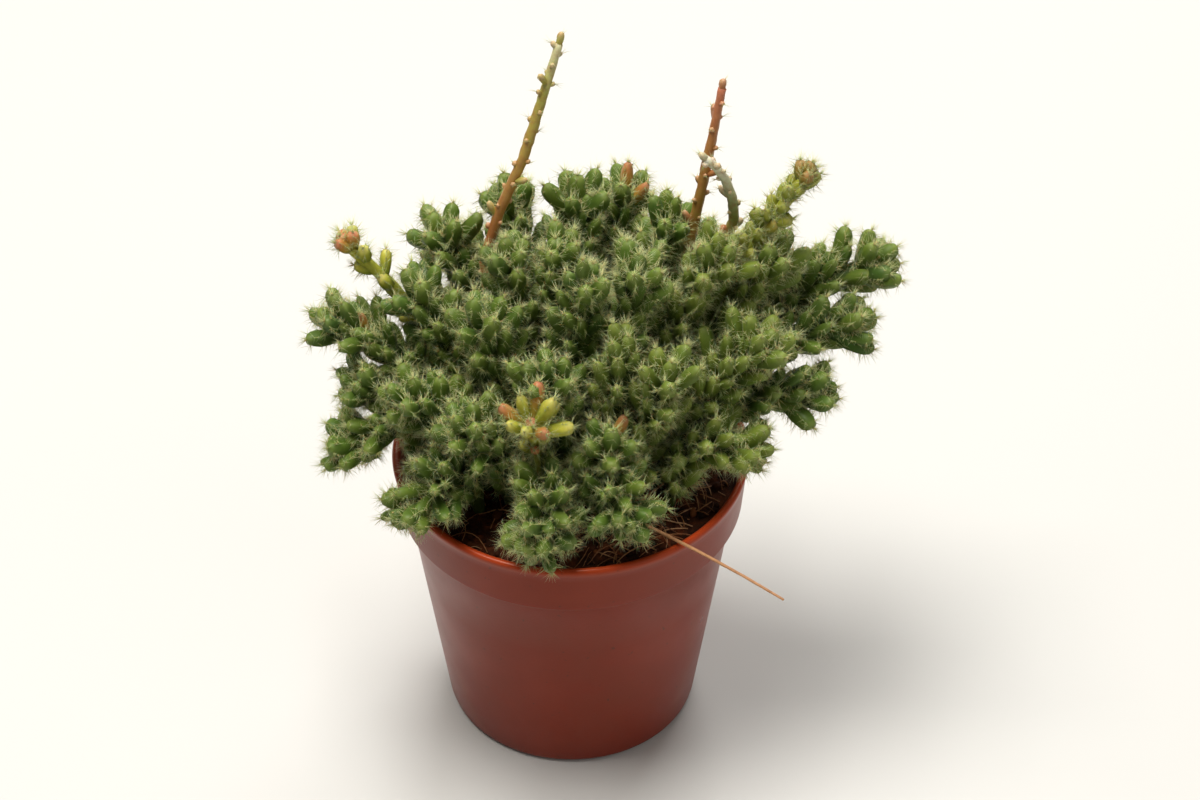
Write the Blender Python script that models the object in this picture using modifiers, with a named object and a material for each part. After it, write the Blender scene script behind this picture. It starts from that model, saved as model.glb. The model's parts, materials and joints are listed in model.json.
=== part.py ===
# A small mistletoe cactus in its plastic nursery pot.
# Metres, +Z up. The origin is the centre of the pot's base, and the viewer stands on the -Y side.
import math
import random

import bmesh
import bpy
import numpy as np
from mathutils import Matrix, Vector, noise

MM = 0.001
SEED = 41
GAP = 0.3

# The pot, in millimetres
POT_HEIGHT = 49.0
RIM_RADIUS = 27.5
BASE_RADIUS = 19.5
WALL = 1.1
COLLAR_HEIGHT = 9.0
COLLAR_TAPER = 0.9
STEP_IN = 1.3
FLOOR = 1.4
POT_SIDES = 32
DRAIN_HOLES = 6
DRAIN_RADIUS = 2.1
DRAIN_CIRCLE = 12.0

# The soil, in millimetres
SOIL_DEPTH_BELOW_LIP = 3.0
SOIL_RELIEF = 0.7
SOIL_SIDES = 20
HOLE_DEPTH = 8.0
HOLE_SIDES = 6
ROOT_CIRCLE = 23.0
ROOT_SPACING = 4.6
ROOT_LIMIT = 21.5

# Stems and branchlets, in millimetres
STEM_RADIUS = 1.05
SPRAY_RADIUS = 0.9
SHOOT_RADIUS = 0.8
BRANCHLET_SIDES = 4
BRANCHLET_RADIUS = 2.15
BRANCHLET_LENGTH = 6.2
BRANCHLET_WIDEST = 0.8
BARE_STEM = 11.5
CORE_RADIUS = 2.4
CORE_START = 0.12
CORE_FULL = 0.4
GOLDEN_ANGLE = math.radians(137.5)
BALL_STEP = 0.8

# Leafy stems: where each tip stands from the middle of the rim (x, y, height over the rim),
# and how high the stem arches over the straight way there, in millimetres.
LEAFY_STEMS = (
    (-4.0, -24.5, 4.5, 6.5),
    (7.5, -22.0, 7.0, 5.5),
    (-15.0, -15.0, 16.0, 2.0),
    (5.5, -16.0, 13.5, 1.0),
    (-3.0, -12.0, 23.0, 1.0),
    (14.0, -12.0, 22.5, 1.0),
    (-23.0, -9.0, 16.5, 3.0),
    (-31.5, -7.0, 7.0, 8.0),
    (-22.5, -18.0, 4.0, 6.0),
    (-34.0, 3.0, 21.5, 4.0),
    (-30.0, -3.0, 14.0, 3.0),
    (-22.0, 4.0, 25.5, 2.0),
    (-13.0, -4.0, 26.5, 1.0),
    (2.5, -3.0, 33.0, 0.0),
    (9.5, -2.0, 34.5, 0.0),
    (8.0, -9.5, 25.0, 1.0),
    (-19.0, 13.0, 29.5, 2.0),
    (-9.0, 4.5, 31.5, 1.0),
    (-9.0, 19.0, 30.5, 2.0),
    (1.0, 14.0, 35.0, 1.0),
    (8.0, 20.0, 32.0, 1.0),
    (14.5, 10.0, 34.0, 1.0),
    (-2.0, 4.0, 33.0, 0.0),
    (-17.0, 24.0, 17.5, 5.0),
    (2.0, 27.0, 18.0, 5.0),
    (19.0, 21.0, 22.0, 4.0),
    (21.5, 2.0, 34.0, 1.0),
    (29.5, 4.0, 32.0, 2.0),
    (27.5, -6.5, 24.0, 3.0),
    (35.0, -4.0, 14.5, 6.0),
    (44.0, 10.0, 27.5, 5.0),
    (40.5, 3.0, 21.5, 6.0),
    (24.5, -12.5, 10.0, 6.0),
    (29.0, 18.0, 21.0, 4.0),
)

# Long slender new shoots: the points each one passes over the soil, from the middle of the rim.
LONG_SHOOTS = {
    "a": ((-10.5, 4.5, 12.0), (-13.0, 10.0, 29.5), (-7.0, 11.5, 47.5), (-1.5, 16.0, 65.5)),
    "b": ((11.0, 7.5, 10.0), (16.0, 9.0, 23.5), (19.5, 11.5, 41.0), (22.5, 14.5, 58.5)),
    "c": ((17.5, 7.0, 12.0), (21.5, 8.5, 28.5), (24.5, 8.0, 39.0), (23.0, 7.0, 47.5), (20.0, 6.0, 52.0)),
}

# Sprays of new growth: tip and arch, as on the leafy stems, and the length of each that is branched.
YOUNG_SPRAYS = {
    "front": (-5.5, -17.5, 19.5, 1.0, 6.5),
    "left": (-33.0, 7.5, 34.0, 3.0, 17.0),
    "right": (34.5, 5.0, 49.0, 2.0, 22.0),
}

FIBRE_RADIUS = 0.4
FIBRE_POINTS = ((6.5, -12.2, -2.2), (9.0, -15.2, -0.4), (16.6, -22.0, 0.95), (24.5, -29.2, 1.9), (31.5, -36.0, 2.6))

SOIL_TOP = POT_HEIGHT - SOIL_DEPTH_BELOW_LIP


def clear_scene():
    for thing in list(bpy.data.objects):
        bpy.data.objects.remove(thing, do_unlink=True)


def make_collection(name):
    group = bpy.data.collections.new(name)
    bpy.context.scene.collection.children.link(group)
    return group


def make_material(name, colour, roughness):
    material = bpy.data.materials.new(name)
    material.use_nodes = True
    shader = material.node_tree.nodes["Principled BSDF"]
    shader.inputs["Base Color"].default_value = (*colour, 1.0)
    shader.inputs["Roughness"].default_value = roughness
    material.diffuse_color = (*colour, 1.0)
    return material


def add_object(name, mesh, group, material=None):
    thing = bpy.data.objects.new(name, mesh)
    group.objects.link(thing)
    if material:
        mesh.materials.append(material)
    return thing


def profile_object(name, points, sides, group, material):
    # A turned shape from a profile that starts on the axis inside and ends on it underneath.
    mesh = bpy.data.meshes.new(name)
    verts = [(r * MM, 0.0, z * MM) for r, z in points]
    mesh.from_pydata(verts, [(i, i + 1) for i in range(len(verts) - 1)], [])
    thing = add_object(name, mesh, group, material)
    screw = thing.modifiers.new("turn", "SCREW")
    screw.steps = sides
    screw.render_steps = sides
    screw.use_merge_vertices = True
    screw.merge_threshold = 0.00001
    screw.use_smooth_shade = False
    return thing


def apply_modifiers(thing):
    evaluated = thing.evaluated_get(bpy.context.evaluated_depsgraph_get())
    mesh = bpy.data.meshes.new_from_object(evaluated)
    thing.modifiers.clear()
    thing.data = mesh
    return thing


def wall_radius(z):
    # The pot's outer radius under the collar.
    top = POT_HEIGHT - COLLAR_HEIGHT
    top_radius = RIM_RADIUS - COLLAR_TAPER - STEP_IN
    return BASE_RADIUS + (top_radius - BASE_RADIUS) * z / top


def make_pot(group, cutters, material):
    step = POT_HEIGHT - COLLAR_HEIGHT
    collar_foot = RIM_RADIUS - COLLAR_TAPER
    lip = WALL * 0.45
    profile = [
        (0.0, FLOOR),
        (wall_radius(FLOOR) - WALL - 0.6, FLOOR),
        (wall_radius(FLOOR) - WALL, FLOOR + 0.6),
        (wall_radius(step - 1.2) - WALL, step - 1.2),
        (collar_foot - WALL, step + 0.4),
        (RIM_RADIUS - 0.3 - WALL, POT_HEIGHT - lip),
        (RIM_RADIUS - WALL, POT_HEIGHT - 0.15),
        (RIM_RADIUS - 0.35, POT_HEIGHT),
        (RIM_RADIUS, POT_HEIGHT - lip),
        (RIM_RADIUS - 0.25, POT_HEIGHT - 2.0 * lip),
        (collar_foot, step),
        (wall_radius(step - 0.5), step - 0.5),
        (BASE_RADIUS, 0.7),
        (BASE_RADIUS - 0.7, 0.0),
        (0.0, 0.0),
    ]
    pot = profile_object("pot", profile, POT_SIDES, group, material)
    for k in range(DRAIN_HOLES):
        angle = 2.0 * math.pi * (k + 0.5) / DRAIN_HOLES
        spot = (DRAIN_CIRCLE * math.cos(angle), DRAIN_CIRCLE * math.sin(angle), FLOOR / 2.0)
        add_cutter(f"drain_{k}", DRAIN_RADIUS, 4.0 * FLOOR, spot, 8, cutters)
    cut = pot.modifiers.new("drains", "BOOLEAN")
    cut.operand_type = "COLLECTION"
    cut.collection = cutters
    return apply_modifiers(pot)


def add_cutter(name, radius, height, centre, sides, group):
    # An upright cylinder that cuts a hole.
    bm = bmesh.new()
    bmesh.ops.create_cone(
        bm, cap_ends=True, segments=sides, radius1=radius * MM, radius2=radius * MM, depth=height * MM
    )
    bmesh.ops.translate(bm, verts=bm.verts, vec=Vector(centre) * MM)
    mesh = bpy.data.meshes.new(name)
    bm.to_mesh(mesh)
    bm.free()
    cutter = add_object(name, mesh, group)
    cutter.hide_render = True
    cutter.display_type = "WIRE"
    return cutter


def empty_collection(group):
    for thing in list(group.objects):
        bpy.data.objects.remove(thing, do_unlink=True)


def soil_height(x, y):
    # The soil's top, with a slight rise in the middle and rough lumps.
    lumps = noise.noise(Vector((x, y, 0.0)) * 0.22) + 0.5 * noise.noise(Vector((x, y, 9.0)) * 0.55)
    return SOIL_TOP + 0.8 * (1.0 - math.hypot(x, y) / RIM_RADIUS) + SOIL_RELIEF * lumps


def make_soil(roots, group, cutters, material):
    # The plug of soil, with a plain hole for each stem and shoot.
    step = POT_HEIGHT - COLLAR_HEIGHT
    bottom = FLOOR + GAP
    side = GAP + WALL
    top_radius = RIM_RADIUS - 0.5 - side - 0.25
    rings = 2
    profile = [(0.0, SOIL_TOP)]
    profile += [(top_radius * k / rings, SOIL_TOP) for k in range(1, rings + 1)]
    profile += [
        (RIM_RADIUS - COLLAR_TAPER - side, step + 0.4),
        (wall_radius(step - 1.2) - side, step - 1.2),
        (wall_radius(bottom + 0.7) - side, bottom + 0.7),
        (wall_radius(bottom) - side - 0.7, bottom),
        (0.0, bottom),
    ]
    soil = apply_modifiers(profile_object("soil", profile, SOIL_SIDES, group, material))
    for vert in soil.data.vertices:
        if vert.co.z > (SOIL_TOP - 0.5) * MM:
            vert.co.z = soil_height(vert.co.x / MM, vert.co.y / MM) * MM
    floor = SOIL_TOP - HOLE_DEPTH - GAP
    height = POT_HEIGHT + 4.0 - floor
    for k, (x, y, radius) in enumerate(roots):
        hole = (radius + GAP) / math.cos(math.pi / HOLE_SIDES)
        add_cutter(f"hole_{k}", hole, height, (x, y, floor + height / 2.0), HOLE_SIDES, cutters)
    cut = soil.modifiers.new("holes", "BOOLEAN")
    cut.operand_type = "COLLECTION"
    cut.collection = cutters
    return apply_modifiers(soil)


def root_spot(tip_x, tip_y, tip_z):
    # Where a stem would leave the soil: inside the pot, and nearer the middle the taller it is.
    reach = math.hypot(tip_x, tip_y)
    root = ROOT_CIRCLE * (1.0 - math.exp(-reach / 21.0)) * max(1.08 - 0.012 * tip_z, 0.65)
    return Vector((tip_x * root / reach, tip_y * root / reach))


def spread_roots(roots):
    # Moves the roots apart until each stem has room for its own hole in the soil.
    roots = [root.copy() for root in roots]
    for _ in range(200):
        for k in range(len(roots)):
            for j in range(k):
                apart = roots[k] - roots[j]
                if apart.length < ROOT_SPACING:
                    push = apart.normalized() * (ROOT_SPACING - apart.length) * 0.5
                    roots[k] += push
                    roots[j] -= push
        for root in roots:
            if root.length > ROOT_LIMIT:
                root *= ROOT_LIMIT / root.length
    return roots


def leafy_way(root, tip, arch, steps):
    # The way of a leafy stem, from its root end in the soil to its tip.
    tip_x, tip_y, tip_z = tip
    base_x, base_y = root
    way = [Vector((base_x, base_y, SOIL_TOP - HOLE_DEPTH)), Vector((base_x, base_y, SOIL_TOP + 0.8))]
    start = SOIL_TOP + 0.8
    end = POT_HEIGHT + tip_z
    for k in range(1, steps + 1):
        t = k / steps
        spread = t**1.35
        x = base_x + (tip_x - base_x) * spread
        y = base_y + (tip_y - base_y) * spread
        z = start + (end - start) * t + arch * 4.0 * t * (1.0 - t)
        way.append(Vector((x, y, z)))
    return way


def shoot_way(root, points, steps):
    # A smooth way through a shoot's points, rising straight from its root end in the soil.
    first = Vector((*root, SOIL_TOP + 0.8))
    knots = [first] + [Vector((x, y, POT_HEIGHT + z)) for x, y, z in points]
    way = [Vector((first.x, first.y, SOIL_TOP - HOLE_DEPTH))]
    for k in range(len(knots) - 1):
        before = knots[max(k - 1, 0)]
        after = knots[min(k + 2, len(knots) - 1)]
        for j in range(steps):
            way.append(curve_point(before, knots[k], knots[k + 1], after, j / steps))
    way.append(knots[-1])
    return way


def curve_point(before, start, end, after, t):
    # A point on the smooth curve between two knots.
    leave = (end - before) * 0.5
    arrive = (after - start) * 0.5
    return (
        start * (2.0 * t**3 - 3.0 * t**2 + 1.0)
        + leave * (t**3 - 2.0 * t**2 + t)
        + end * (3.0 * t**2 - 2.0 * t**3)
        + arrive * (t**3 - t**2)
    )


def along(way, distance):
    # The point and the heading at a distance along a way from its start, and the place in its list.
    for k in range(len(way) - 1):
        piece = (way[k + 1] - way[k]).length
        if distance <= piece or k == len(way) - 2:
            share = min(distance / piece, 1.0)
            return way[k].lerp(way[k + 1], share), (way[k + 1] - way[k]).normalized(), k + share
        distance -= piece


def way_length(way):
    return sum((way[k + 1] - way[k]).length for k in range(len(way) - 1))


def plan_plants():
    # Every stem, spray and shoot, with its way, thickness and manner of branching.
    wanted = [root_spot(*place[:3]) for place in (*LEAFY_STEMS, *YOUNG_SPRAYS.values())]
    wanted += [Vector(points[0][:2]) for points in LONG_SHOOTS.values()]
    roots = iter(spread_roots(wanted))
    plants = []
    for k, (x, y, z, arch) in enumerate(LEAFY_STEMS):
        plants.append({
            "name": f"leafy_stem_{k + 1:02d}",
            "kind": "leafy",
            "way": leafy_way(next(roots), (x, y, z), arch, 4),
            "stem": STEM_RADIUS,
            "bare": BARE_STEM,
            "pitch": 2.95,
            "length": BRANCHLET_LENGTH,
            "radius": BRANCHLET_RADIUS,
            "crown": 6,
            "lean": (50.0, 68.0),
            "spread": (36.0, 54.0),
        })
    for name, (x, y, z, arch, branched) in YOUNG_SPRAYS.items():
        way = leafy_way(next(roots), (x, y, z), arch, 4)
        plants.append({
            "name": f"young_spray_{name}",
            "kind": "spray",
            "way": way,
            "stem": SPRAY_RADIUS,
            "bare": way_length(way) - branched,
            "pitch": 2.2,
            "length": 3.0,
            "radius": 1.2,
            "crown": 4,
            "lean": (38.0, 58.0),
            "spread": (28.0, 42.0),
        })
    for name, points in LONG_SHOOTS.items():
        plants.append({
            "name": f"long_shoot_{name}",
            "kind": "shoot",
            "way": shoot_way(next(roots), points, 2),
            "stem": SHOOT_RADIUS,
            "bare": 9.0 + 24.0,
            "pitch": 8.0,
            "length": 2.1,
            "radius": 0.6,
            "crown": 1,
            "lean": (40.0, 60.0),
            "spread": (28.0, 42.0),
        })
    for plant in plants:
        plant["radii"] = [plant["stem"]] * len(plant["way"])
    thicken_stems(plants)
    return plants


def way_spheres(plant):
    # Balls that fill a stem, each with its place in the stem's list of points.
    spheres = []
    places = []
    total = way_length(plant["way"])
    count = int(total / BALL_STEP) + 1
    for k in range(count + 1):
        point, _, place = along(plant["way"], total * k / count)
        spheres.append((point.x, point.y, point.z, radius_at(plant, place)))
        places.append(place)
    return spheres, places


def radius_at(plant, place):
    k = min(int(place), len(plant["radii"]) - 2)
    return plant["radii"][k] + (plant["radii"][k + 1] - plant["radii"][k]) * (place - k)


def thicken_stems(plants):
    # Gives each leafy stem's upper part its thick core, as far as its neighbours leave room.
    balls = [way_spheres(plant) for plant in plants]
    for k, plant in enumerate(plants):
        if plant["kind"] != "leafy":
            continue
        others = np.array([ball[:3] for j, (row, _) in enumerate(balls) if j != k for ball in row])
        spheres, places = balls[k]
        middle = np.array([ball[:3] for ball in spheres])
        room = np.linalg.norm(middle[:, None] - others[None], axis=2).min(axis=1) * 0.5 - 0.2
        last = len(plant["way"]) - 1
        for j in range(2, last + 1):
            near = [r for r, place in zip(room, places) if abs(place - j) <= 1.0]
            rise = min(max((j / last - CORE_START) / (CORE_FULL - CORE_START), 0.0), 1.0)
            wanted = plant["stem"] + (CORE_RADIUS - plant["stem"]) * rise * (1.0 if j < last else 0.6)
            plant["radii"][j] = max(plant["stem"], min(wanted, min(near)))


def branchlet_spheres(root, heading, length, radius):
    # Balls that fill a branchlet.
    spots = ((0.25, 0.45), (0.42, 0.66), (0.6, 0.88), (0.76, 1.0), (0.88, 0.72))
    return [(*(root + heading * length * s), radius * r) for s, r in spots]


def hits_pot(spheres):
    # Whether any ball comes too near the pot or the soil.
    for x, y, z, r in spheres:
        reach = math.hypot(x, y)
        lip = math.hypot(reach - (RIM_RADIUS - 0.5 * WALL), z - (POT_HEIGHT - 0.6))
        if lip < r + 0.9 + GAP:
            return True
        if z < POT_HEIGHT - 0.5 and RIM_RADIUS - WALL - 1.0 - r < reach < RIM_RADIUS + GAP + r:
            return True
        if reach < RIM_RADIUS and z - r < SOIL_TOP + 1.9:
            return True
        if z - r < POT_HEIGHT - 7.0:
            return True
    return False


def hits_others(spheres, taken, owners, owner):
    # Whether any ball comes too near another plant piece's balls.
    mine = np.array(spheres)
    others = taken[owners != owner]
    if not len(others):
        return False
    apart = np.linalg.norm(mine[:, None, :3] - others[None, :, :3], axis=2)
    return bool((apart < mine[:, None, 3] + others[None, :, 3] + GAP).any())


def too_close_inside(spot, own_tips, least):
    return any((spot - tip).length < least for tip in own_tips)


def branchlet_wishes(plant, draw):
    # Where a plant would like its branchlets: root, heading, length and radius of each.
    way = plant["way"]
    total = way_length(way)
    turn = draw.uniform(0.0, 2.0 * math.pi)
    wishes = []
    distance = plant["bare"]
    while distance < total - 1.0:
        point, ahead, place = along(way, distance)
        side = ahead.orthogonal().normalized()
        side.rotate(Matrix.Rotation(turn, 3, ahead))
        lean = math.radians(draw.uniform(*plant["lean"]))
        heading = ahead * math.cos(lean) + side * math.sin(lean)
        length = plant["length"] * draw.uniform(0.85, 1.1) + radius_at(plant, place)
        wishes.append((point, heading, length, plant["radius"] * draw.uniform(0.92, 1.05)))
        turn += GOLDEN_ANGLE
        distance += plant["pitch"] * draw.uniform(0.85, 1.15)
    point, ahead, _ = along(way, total - 0.8)
    for k in range(plant["crown"]):
        side = ahead.orthogonal().normalized()
        side.rotate(Matrix.Rotation(turn + 2.0 * math.pi * k / max(plant["crown"] - 1, 1), 3, ahead))
        lean = math.radians(0.0 if k == 0 else draw.uniform(*plant["spread"]))
        heading = ahead * math.cos(lean) + side * math.sin(lean)
        wishes.append((point, heading, plant["length"] * draw.uniform(0.95, 1.2), plant["radius"]))
    return wishes


def settle_branchlets(plants):
    # Gives each plant the branchlets that clear the pot, the soil and the other plants.
    taken = []
    owners = []
    for k, plant in enumerate(plants):
        spheres, _ = way_spheres(plant)
        taken += spheres
        owners += [k] * len(spheres)
    wishes = [branchlet_wishes(plant, random.Random(SEED + 7 * k)) for k, plant in enumerate(plants)]
    for plant in plants:
        plant["branchlets"] = []
    tips = [[] for _ in plants]
    for turn in range(max(len(w) for w in wishes)):
        for k, plant in enumerate(plants):
            if turn >= len(wishes[k]):
                continue
            root, heading, length, radius = wishes[k][-1 - turn]
            placed = bend_clear(root, heading, length, radius, np.array(taken), np.array(owners), k, tips[k])
            if placed:
                plant["branchlets"].append(placed)
                tips[k].append(placed[0] + placed[1] * placed[2])
                spheres = branchlet_spheres(*placed)
                taken += spheres
                owners += [k] * len(spheres)


def bend_clear(root, heading, length, radius, taken, owners, owner, own_tips):
    # Turns or shortens a branchlet until it is clear, or gives it up.
    side = heading.orthogonal().normalized()
    for share in (1.0, 0.85, 0.7):
        for bend in (0.0, 22.0, 40.0):
            for way_round in range(1 if bend == 0.0 else 4):
                pivot = side.copy()
                pivot.rotate(Matrix.Rotation(way_round * math.pi / 2.0, 3, heading))
                turned = heading.copy()
                turned.rotate(Matrix.Rotation(math.radians(bend), 3, pivot))
                tip = root + turned * length * share
                if too_close_inside(tip, own_tips, 1.3 * radius):
                    continue
                spheres = branchlet_spheres(root, turned, length * share, radius)
                if hits_pot(spheres) or hits_others(spheres, taken, owners, owner):
                    continue
                return root, turned, length * share, radius
    return None


def rod_object(name, way, radii, group, material):
    # A round rod along a way, with a thickness at each point and closed ends.
    curve = bpy.data.curves.new(name, "CURVE")
    curve.dimensions = "3D"
    curve.bevel_depth = MM
    curve.bevel_resolution = 1
    curve.use_fill_caps = True
    spline = curve.splines.new("POLY")
    spline.points.add(len(way) - 1)
    for k, point in enumerate(way):
        spline.points[k].co = (*(point * MM), 1.0)
        spline.points[k].radius = radii[k]
    guide = bpy.data.objects.new(name + "_guide", curve)
    group.objects.link(guide)
    bpy.context.view_layer.update()
    mesh = bpy.data.meshes.new_from_object(guide.evaluated_get(bpy.context.evaluated_depsgraph_get()))
    bm = bmesh.new()
    bm.from_mesh(mesh)
    bmesh.ops.remove_doubles(bm, verts=bm.verts, dist=0.00001)
    bmesh.ops.recalc_face_normals(bm, faces=bm.faces)
    bm.to_mesh(mesh)
    bm.free()
    mesh.materials.clear()
    rod = add_object(name, mesh, group, material)
    rod.matrix_world = guide.matrix_world
    bpy.data.objects.remove(guide, do_unlink=True)
    return rod


def branchlet_object(name, root, heading, length, radius, group):
    # A stubby branchlet: slim at its root, widest near its blunt tip.
    bm = bmesh.new()
    bmesh.ops.create_uvsphere(bm, u_segments=BRANCHLET_SIDES, v_segments=2, radius=1.0)
    for vert in bm.verts:
        flat = Vector((vert.co.x, vert.co.y, 0.0))
        if flat.length > 0.01:
            flat = flat.normalized() * radius
            vert.co = (flat.x, flat.y, length * BRANCHLET_WIDEST)
        else:
            vert.co = (0.0, 0.0, length if vert.co.z > 0.0 else 0.0)
    turn = heading.to_track_quat("Z", "Y").to_matrix().to_4x4()
    bm.transform(Matrix.Scale(MM, 4) @ Matrix.Translation(root) @ turn)
    mesh = bpy.data.meshes.new(name)
    bm.to_mesh(mesh)
    bm.free()
    return add_object(name, mesh, group)


def keep_outer_shell(mesh):
    # Fills the hollows that fusing sealed and drops loose scraps: only the widest shell stays.
    bm = bmesh.new()
    bm.from_mesh(mesh)
    left = set(bm.faces)
    shells = []
    while left:
        shell = {left.pop()}
        edge_of_shell = list(shell)
        while edge_of_shell:
            face = edge_of_shell.pop()
            for edge in face.edges:
                for other in edge.link_faces:
                    if other in left:
                        left.discard(other)
                        shell.add(other)
                        edge_of_shell.append(other)
        heights = [vert.co.z for face in shell for vert in face.verts]
        shells.append((max(heights) - min(heights), len(shells), shell))
    shells.sort()
    spare = [face for _, _, shell in shells[:-1] for face in shell]
    bmesh.ops.delete(bm, geom=spare, context="FACES")
    bm.to_mesh(mesh)
    bm.free()


def grow(plant, group, cutters, material):
    # A stem with its branchlets fused to it in one body.
    stem = rod_object(plant["name"], plant["way"], plant["radii"], group, material)
    for k, (root, heading, length, radius) in enumerate(plant["branchlets"]):
        branchlet_object(f"branchlet_{k}", root, heading, length, radius, cutters)
    join = stem.modifiers.new("join", "BOOLEAN")
    join.operation = "UNION"
    join.operand_type = "COLLECTION"
    join.collection = cutters
    apply_modifiers(stem)
    keep_outer_shell(stem.data)
    stem.data.materials.clear()
    stem.data.materials.append(material)
    empty_collection(cutters)
    return stem


def main():
    clear_scene()
    parts = make_collection("mistletoe_cactus")
    cutters = make_collection("cutters")
    terracotta = make_material("terracotta_plastic", (0.33, 0.075, 0.04), 0.42)
    peat = make_material("peat", (0.045, 0.022, 0.012), 0.95)
    coir = make_material("coir", (0.45, 0.22, 0.10), 0.7)
    looks = {
        "leafy": make_material("stem_green", (0.10, 0.19, 0.045), 0.5),
        "spray": make_material("young_green", (0.42, 0.42, 0.06), 0.45),
        "shoot": make_material("shoot_orange", (0.50, 0.25, 0.04), 0.45),
    }
    plants = plan_plants()
    settle_branchlets(plants)
    make_pot(parts, cutters, terracotta)
    empty_collection(cutters)
    roots = [(plant["way"][0].x, plant["way"][0].y, plant["stem"]) for plant in plants]
    make_soil(roots, parts, cutters, peat)
    empty_collection(cutters)
    for plant in plants:
        grow(plant, parts, cutters, looks[plant["kind"]])
    fibre_way = [Vector((x, y, POT_HEIGHT + z)) for x, y, z in FIBRE_POINTS]
    rod_object("coir_fibre", fibre_way, [FIBRE_RADIUS] * len(fibre_way), parts, coir)


main()
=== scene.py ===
import json
import math
import random

import bmesh
import bpy
import numpy as np
from mathutils import Matrix, Vector, noise

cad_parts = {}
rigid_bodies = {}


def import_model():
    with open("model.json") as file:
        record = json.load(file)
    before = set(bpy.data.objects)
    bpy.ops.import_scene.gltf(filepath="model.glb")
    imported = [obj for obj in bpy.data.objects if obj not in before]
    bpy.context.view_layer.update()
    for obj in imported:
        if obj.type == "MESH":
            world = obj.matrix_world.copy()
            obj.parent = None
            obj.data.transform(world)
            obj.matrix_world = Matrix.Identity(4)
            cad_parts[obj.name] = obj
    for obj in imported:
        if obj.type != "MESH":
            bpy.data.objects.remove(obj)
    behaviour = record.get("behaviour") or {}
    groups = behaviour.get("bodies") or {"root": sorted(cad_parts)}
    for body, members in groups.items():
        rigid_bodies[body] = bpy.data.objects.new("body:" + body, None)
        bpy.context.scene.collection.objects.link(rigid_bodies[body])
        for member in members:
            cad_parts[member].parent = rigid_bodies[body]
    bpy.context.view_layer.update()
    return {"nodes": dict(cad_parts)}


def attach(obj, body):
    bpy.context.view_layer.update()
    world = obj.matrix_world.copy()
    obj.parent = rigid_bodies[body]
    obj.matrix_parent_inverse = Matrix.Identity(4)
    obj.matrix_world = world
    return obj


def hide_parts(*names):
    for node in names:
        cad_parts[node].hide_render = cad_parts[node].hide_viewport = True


# A small mistletoe cactus in its plastic nursery pot, in metres. Sizes in the dictionaries are in millimetres.
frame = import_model()
mm = 0.001
up = np.array([0.0, 0.0, 1.0])
print("frame loaded:", len(frame["nodes"]), "solids")

potSizes = {
    "height": 49.0,
    "rimRadius": 27.5,
    "baseRadius": 19.5,
    "wall": 1.1,
    "collarHeight": 9.0,
    "collarTaper": 0.9,
    "stepIn": 1.3,
    "floor": 1.4,
    "sectors": 160,
    "drainHoles": 6,
    "drainRadius": 2.1,
    "drainCircle": 12.0,
    "lip": 0.62,
}
potTop = potSizes["height"]
collarStep = potTop - potSizes["collarHeight"]
soilSizes = {
    "belowLip": 3.0,
    "rise": 0.8,
    "relief": 0.7,
    "clearance": 0.12,
    "holeDepth": 8.0,
    "rootCircle": 23.0,
    "rootSpread": 21.0,
    "tallPull": (1.08, 0.012, 0.65),
    "rootSpacing": 4.6,
    "rootLimit": 21.5,
    "rings": 44,
    "sectors": 132,
    "crumbs": 620,
    "crumbSize": (0.22, 0.85),
    "crumbStretch": ((0.7, 1.3), (0.7, 1.3), (0.5, 0.9)),
    "crumbRough": 0.16,
    "fibres": 300,
    "fibreLength": (2.5, 9.0),
    "fibreRadius": (0.045, 0.12),
}
soilTop = potTop - soilSizes["belowLip"]
seed = 41
stemSizes = {
    "gap": 0.3,
    "lipClear": 0.9,
    "soilClear": 1.9,
    "lowest": 7.0,
    "overSoil": 0.8,
    "bareStem": 11.5,
    "bareShoot": 33.0,
    "coreRadius": 2.4,
    "coreStart": 0.12,
    "coreFull": 0.4,
    "goldenAngle": math.radians(137.5),
    "outward": 1.35,
    "lengthRange": (0.85, 1.1),
    "radiusRange": (0.92, 1.05),
    "pitchRange": (0.85, 1.15),
    "crownRange": (0.95, 1.2),
    "ballStep": 0.8,
}
# How each kind of stem branches: its own radius, the spacing and size of its branchlets, how many stand at its tip,
# and how far they lean, in degrees.
habits = {
    "leafy": {
        "stem": 1.05, "pitch": 2.95, "length": 6.2, "radius": 2.15, "crown": 6,
        "lean": (50.0, 68.0), "spread": (36.0, 54.0),
    },
    "spray": {
        "stem": 0.9, "pitch": 2.2, "length": 3.0, "radius": 1.2, "crown": 4,
        "lean": (38.0, 58.0), "spread": (28.0, 42.0),
    },
    "shoot": {
        "stem": 0.8, "pitch": 8.0, "length": 2.1, "radius": 0.6, "crown": 1,
        "lean": (40.0, 60.0), "spread": (28.0, 42.0),
    },
}

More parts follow.
